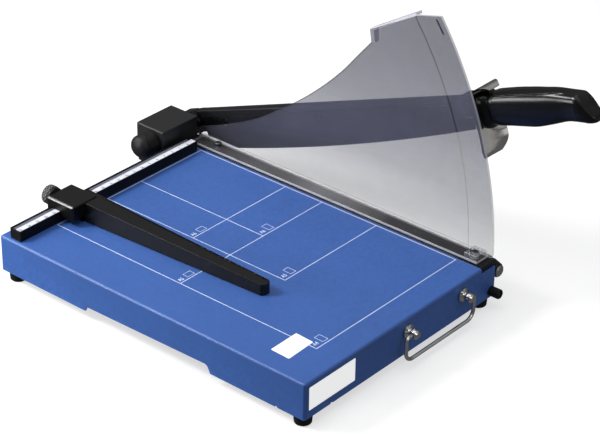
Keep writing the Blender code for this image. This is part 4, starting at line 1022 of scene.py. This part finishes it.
def grip_ring(bm, s, h, w, t, panel):
    """A section of the grip. Its sides below the ridge are let in a little, which leaves a crease."""
    verts = []
    for i in range(SIDES):
        a = 2 * math.pi * (i + 0.5) / SIDES
        c, d = math.cos(a), math.sin(a)
        x = w * math.copysign(abs(c) ** (2 / 3.1), c)
        z = h + t * math.copysign(abs(d) ** (2 / 3.1), d)
        ridge = RIDGE - 0.00085 * (s - 392.0) ** 2 + (h + 6.0) * 0.6
        under = min(max((ridge - z) / 1.1, 0.0), 1.0)
        under *= min(max((z - (h - t * 0.93)) / 3.0, 0.0), 1.0)
        x -= math.copysign(0.75 * panel * under * (3 * under - 2 * under ** 2) / max(under, 1e-6) * under, x) \
            if under > 0 else 0.0
        bead = math.exp(-((z - ridge - 0.2) / 0.75) ** 2) * min(panel * 1.4, 1.0)
        x += math.copysign(0.5 * bead, x)
        verts.append(bm.verts.new(Vector((GRIP_X + x, -s, z)) * MM))
    return verts


def resampled(rows, count):
    """Sections in between, on a smooth curve through the given ones."""
    out = []
    for i in range(len(rows) - 1):
        p0, p1, p2, p3 = (rows[max(i - 1, 0)], rows[i], rows[i + 1], rows[min(i + 2, len(rows) - 1)])
        for k in range(count):
            t = k / count
            out.append(tuple(
                0.5 * (2 * b + (c - a) * t + (2 * a - 5 * b + 4 * c - d) * t * t + (3 * b - a - 3 * c + d) * t ** 3)
                if j else b + (c - b) * t
                for j, (a, b, c, d) in enumerate(zip(p0, p1, p2, p3))))
    return out + [rows[-1]]


bm = bmesh.new()
rings = [grip_ring(bm, *row) for row in resampled(GRIP, 3)]
for near, far in zip(rings, rings[1:]):
    for i in range(SIDES):
        j = (i + 1) % SIDES
        bm.faces.new((near[i], far[i], far[j], near[j]))
bm.faces.new(rings[0])
bm.faces.new(list(reversed(rings[-1])))
bmesh.ops.recalc_face_normals(bm, faces=bm.faces)
grip = temp(to_mesh(bm), ARM)
grip = cut(grip, block((6.0, 12.4), (-431.5, -335.0), (-8.4, 1.4), matrix=ARM),
           bar("Y", (9.2, -3.5), 2.1, (-441, -430), 24, matrix=ARM))
piece("grip_finished", grip, grip_plastic, "arm", ["grip"], sharp=50.0, weighted=False)

# ------------------------------------------------------------ clamp shield
CREASE, OUTER = (37.3, -1.0, 333.2), (40.7, -1.1, 361.9)
WALL_X, FOOT_X, CLAMP_Z = (-7.0, -4.5), (-22.5, -4.5), (1.5, 4.0)
GUIDES = {"front": (-13.5, -308.0), "rear": (-13.5, -12.0)}


def arc_point(arc, z):
    return arc[0] - math.sqrt(arc[2] ** 2 - (z - arc[1]) ** 2)


TOP_EDGE = flowing([(25.4, 6.6), (13.0, 12.6), (-1.0, 18.3), (-14.4, 24.0), (-25.8, 29.6), (-41.0, 37.0),
                    (-56.3, 45.6), (-72.2, 56.8), (-90.8, 69.9), (-104.2, 80.2), (-117.5, 91.2), (-130.4, 102.8),
                    (-143.5, 115.6), (-155.8, 128.9), (-170.1, 146.4), (-183.2, 162.0)], 3) \
    + [(-181.3, 174.2), (-229.2, 201.2)]
CREASE_ARC = [(arc_point(CREASE, z), z) for z in [201.2 - 199.7 * i / 42 for i in range(1, 43)]]
wall = soften(plate([[(25.0, 1.5), (27.6, 3.6)] + TOP_EDGE + CREASE_ARC], "YZ", WALL_X), 0.35, 2, 60.0)
BAND_OUT = [(arc_point(OUTER, z), z) for z in [208.0 - 202.0 * i / 48 for i in range(49)]]
BAND_IN = [(arc_point(CREASE, z) + 2.0, z) for z in [1.5 + 199.0 * i / 42 for i in range(43)]]
band = soften(plate([[(-227.6, 201.0)] + BAND_OUT + [(-320.4, 1.9), (-317.6, 1.5)] + BAND_IN], "YZ",
                    (WALL_X[0] + 0.8, WALL_X[1] + 0.8)), 0.35, 2, 60.0)
foot = block((FOOT_X[0], FOOT_X[1] + 0.8), (-317.0, 14.0), CLAMP_Z, 0.6, 3)
LIP = [(-183.2, 162.0), (-181.3, 174.2), (-228.9, 203.4), (-229.8, 201.0), (-183.9, 172.8), (-185.4, 161.2)]
lip = soften(plate([LIP], "YZ", (WALL_X[0] + 0.2, 2.0)), 0.4, 2, 50.0)
bead = block((-8.3, -6.6), (-316.6, 13.6), (3.7, 5.2), 0.5, 3)
bosses = [block((-21.6, -6.4), (-315.3, -302.5), (3.4, 8.2), 0.7, 3)]
shield = join(wall, band, foot, lip, bead, *bosses)
shield = cut(shield, *[bar("Z", spot, 2.5, (0, 9), 32) for spot in GUIDES.values()],
             *[bar("Z", spot, 3.9, (0, 2.75), 40) for spot in GUIDES.values()],
             bar("Z", GUIDES["front"], 5.0, (4.0, 12.0), 40),
             bar("X", (20.5, 4.6), 1.9, (-12, 0), 32))
shield_piece = piece("clamp_shield_finished", shield, [shield_sheet, shield_painted_highlight, shield_painted_shade, shield_foot, shield_boss,
                                                       painted_highlight_lip], "clamp", ["clamp_shield"])
# Faces take the sheet's finishes: the boss (4), the foot (3), the lip with its painted highlight (5), the outer and
# front rims a painted highlight (1), the crease and the top rim painted shade (2).
for face in shield_piece.data.polygons:
    middle = SHIFT.inverted() @ face.center / MM
    reach = math.hypot(middle.y - CREASE[0], middle.z - CREASE[1])
    outer = math.hypot(middle.y - OUTER[0], middle.z - OUTER[1])
    over = (middle.z - 174.2) * 47.9 + (middle.y + 181.3) * 27.0
    if middle.z > 4.4 and middle.z < 10.0 and middle.x < -6.9 and middle.y < -300.0:
        face.material_index = 4 if max(abs(c) for c in face.normal) > 0.93 else 1
    elif middle.z < 4.6 and abs(face.normal.x) < 0.75 or middle.x < -7.05:
        face.material_index = 3 if abs(face.normal.z) > 0.8 and middle.x < -8.4 and middle.z < 4.6 else 1
    elif middle.z > 160.5 and middle.y > -229.9 and (over > -40.0 or middle.z < 174.5 and middle.y > -184.8):
        face.material_index = 5
    elif abs(face.normal.x) < 0.75:
        if outer > OUTER[2] - 1.2:
            face.material_index = 1
        elif abs(reach - CREASE[2]) < 2.6 and middle.y < -225.0:
            face.material_index = 2
        else:
            face.material_index = 2 if middle.y > -184.0 or middle.z < 190 and middle.y > -190 else 1


def edge_strip(line, inward, x, finish_index, depth=0.06):
    """A narrow strip painted dark along an outline of the sheet: painted shade where its cut edge shows dark."""
    bm = bmesh.new()
    bm.from_mesh(shield_piece.data)
    before = len(bm.faces)
    rows = []
    for i, here in enumerate(line):
        a, b = Vector(line[max(i - 1, 0)]), Vector(line[min(i + 1, len(line) - 1)])
        ahead = (b - a).normalized()
        side = Vector((-ahead.y, ahead.x)) * inward
        inner = Vector(here) + side
        rows.append([bm.verts.new(SHIFT @ (Vector((px, y, z)) * MM))
                     for px, (y, z) in ((x, here), (x, inner), (x - depth, inner), (x - depth, here))])
    made = []
    for near, far in zip(rows, rows[1:]):
        for i in range(4):
            j = (i + 1) % 4
            made.append(bm.faces.new((near[i], near[j], far[j], far[i])))
    made += [bm.faces.new(rows[0]), bm.faces.new(list(reversed(rows[-1])))]
    bmesh.ops.recalc_face_normals(bm, faces=made)
    for face in made:
        face.material_index = finish_index
        face.smooth = False
    bm.to_mesh(shield_piece.data)
    bm.free()


edge_strip(TOP_EDGE[4:-2], 0.75, WALL_X[0] + 0.02, 2)
# A wider strip inside the rim at the top corner: a painted shadow.
edge_strip([(-250.9, 204.6), (-252.9, 202.2), (-255.0, 199.4), (-257.2, 196.2), (-259.1, 193.3)], 1.4,
           WALL_X[0] + 0.82, 2, 0.5)

# ------------------------------------------------------------ carrying bail
LEFT, RIGHT = STUD_X["left"] - 10.5, STUD_X["right"] + 7.0
LOW = -35.1 - BAIL_Z
points = rounded([(STUD_X["left"] + 5.0, 0.0), (LEFT, 0.0), (LEFT, LOW), (RIGHT, LOW), (RIGHT, 0.0),
                  (STUD_X["right"] - 5.0, 0.0)], [0, 3.5, 9.0, 9.0, 3.5, 0], 12)
curve = bpy.data.curves.new("bail", "CURVE")
curve.dimensions = "3D"
curve.bevel_depth = 1.7 * MM
curve.bevel_resolution = 8
curve.use_fill_caps = True
spline = curve.splines.new("POLY")
spline.points.add(len(points) - 1)
for point, (x, z) in zip(spline.points, points):
    point.co = (x * MM, 0.0, z * MM, 1.0)
holder = temp(curve, BAIL)
mesh = evaluated(holder)
bpy.data.objects.remove(holder, do_unlink=True)
bm = bmesh.new()
bm.from_mesh(mesh)
bmesh.ops.remove_doubles(bm, verts=bm.verts, dist=1e-7)
piece("carry_bail_finished", temp(to_mesh(bm), BAIL), nickel, "bail", ["carry_bail"], sharp=60.0, weighted=False)

# ------------------------------------------------- carried-over CAD pieces
DRESS = {
    "bed_bar": (black_coat, 0.0), "fixed_knife": (knife_steel, 0.15), "arm_stop_plate": (black_coat, 0.3),
    "stop_stud": (bright_steel, 0.0), "pivot_bracket": (black_coat, 0.0), "pivot_shaft": (bright_steel, 0.2),
    "pivot_spring": (spring_steel, 0.0), "spring_washer": (bright_steel, 0.1), "pivot_nut": (bright_steel, 0.3),
    "arm_bush": (bronze, 0.0), "lift_cam": (black_steel, 0.2), "grip_bolt": (bright_steel, 0.1),
    "stop_shoe": (brass, 0.3), "stop_nut": (brass, 0.2), "stop_screw": (bright_steel, 0.0),
    "cam_follower": (black_steel, 0.15), "rubber_buffer": (rubber, 0.0), "buffer_screw": (bright_steel, 0.0),
}
for number in (1, 2, 3):
    DRESS[f"blade_screw_{number}"] = (black_steel, 0.1)
    DRESS[f"knife_screw_{number}"] = (black_steel, 0.1)
for number in (1, 2):
    DRESS[f"bar_screw_{number}"] = DRESS[f"fence_screw_{number}"] = (bright_steel, 0.0)
    DRESS[f"bracket_bolt_{number}"] = (bright_steel, 0.25)
for side in ("front", "rear"):
    DRESS[f"guide_screw_{side}"] = (guide_steel, 0.2)
    DRESS[f"clamp_spring_{side}"] = (spring_steel, 0.0)
for side in ("left", "right"):
    DRESS[f"bail_stud_{side}"] = (nickel, 0.0)
    DRESS[f"stud_nut_{side}"] = (bright_steel, 0.25)
for spot in FEET:
    DRESS[f"foot_{spot}"] = (rubber, 0.0)
    DRESS[f"foot_screw_{spot}"] = (bright_steel, 0.0)
for name, (finish, bevel) in DRESS.items():
    dressed(name, finish, bevel=bevel)

# ------------------------------------------------------------------- studio
floor = bpy.data.meshes.new("floor")
floor.from_pydata([(-16, -16, 0), (16, -16, 0), (16, 16, 0), (-16, 16, 0)], [], [(0, 1, 2, 3)])
floor_object = bpy.data.objects.new("floor", floor)
bpy.context.scene.collection.objects.link(floor_object)
floor_object.location.z = -0.0002
f = Finish("pale_floor")
f.set(Base_Color=(0.50, 0.50, 0.50, 1.0), Roughness=0.9, Emission_Color=(1.0, 1.0, 1.0, 1.0), Emission_Strength=0.58)
f.shader.inputs["Specular IOR Level"].default_value = 0.0
floor.materials.append(f.mat)
floor_object.visible_diffuse = False
floor_object.visible_glossy = False
floor_object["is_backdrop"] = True

world = bpy.data.worlds.new("studio")
bpy.context.scene.world = world
world.use_nodes = True
tree = world.node_tree
sky = tree.nodes.new("ShaderNodeTexCoord")
split = tree.nodes.new("ShaderNodeSeparateXYZ")
rise = tree.nodes.new("ShaderNodeMapRange")
ramp = tree.nodes.new("ShaderNodeValToRGB")
tree.links.new(sky.outputs["Generated"], split.inputs["Vector"])
tree.links.new(split.outputs["Z"], rise.inputs["Value"])
rise.inputs["From Min"].default_value = -1.0
rise.inputs["From Max"].default_value = 1.0
tree.links.new(rise.outputs["Result"], ramp.inputs["Fac"])
for spot, (place, value) in enumerate([(0.0, 0.30), (1.0, 1.0), (0.5, 0.20), (0.68, 0.22), (0.80, 0.7)]):
    stop = ramp.color_ramp.elements[spot] if spot < 2 else ramp.color_ramp.elements.new(place)
    stop.position = place
    stop.color = (value * 0.98, value * 0.99, value, 1.0)
tree.links.new(ramp.outputs["Color"], tree.nodes["Background"].inputs["Color"])
tree.nodes["Background"].inputs["Strength"].default_value = 0.60


def softbox(name, place, aim, width, height, power, colour=(1, 1, 1)):
    data = bpy.data.lights.new(name, "AREA")
    data.shape = "RECTANGLE"
    data.size, data.size_y = width, height
    data.energy = power
    data.color = colour
    made = bpy.data.objects.new(name, data)
    bpy.context.scene.collection.objects.link(made)
    made.location = place
    made.rotation_euler = (Vector(aim) - Vector(place)).to_track_quat("-Z", "Y").to_euler()
    made.visible_camera = False
    return made


softbox("key_softbox", (-0.66, 0.74, 0.90), (0, 0, 0), 0.34, 0.34, 11.5)
softbox("top_softbox", (-0.1, 0.1, 1.6), (0, 0, 0), 1.4, 1.4, 7.0)
softbox("left_softbox", (-0.62, 0.52, 0.16), (-0.14, 0.16, 0.02), 0.3, 0.24, 3.4)
softbox("front_softbox", (-0.35, -1.3, 0.75), (0.05, -0.15, 0.08), 0.7, 0.5, 2.4)
softbox("rear_card", (-0.35, 1.25, 0.55), (0, 0.05, 0.06), 0.7, 0.3, 1.8)
softbox("guard_card", (0.45, -1.45, 0.22), (0.04, -0.15, 0.15), 0.22, 0.8, 0.55)
softbox("side_card", (1.0, -1.15, 0.15), (0.04, -0.15, 0.15), 0.6, 0.8, 0.40)

bpy.context.scene.view_settings.view_transform = "Standard"
bpy.context.scene.view_settings.look = "None"

low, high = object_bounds()
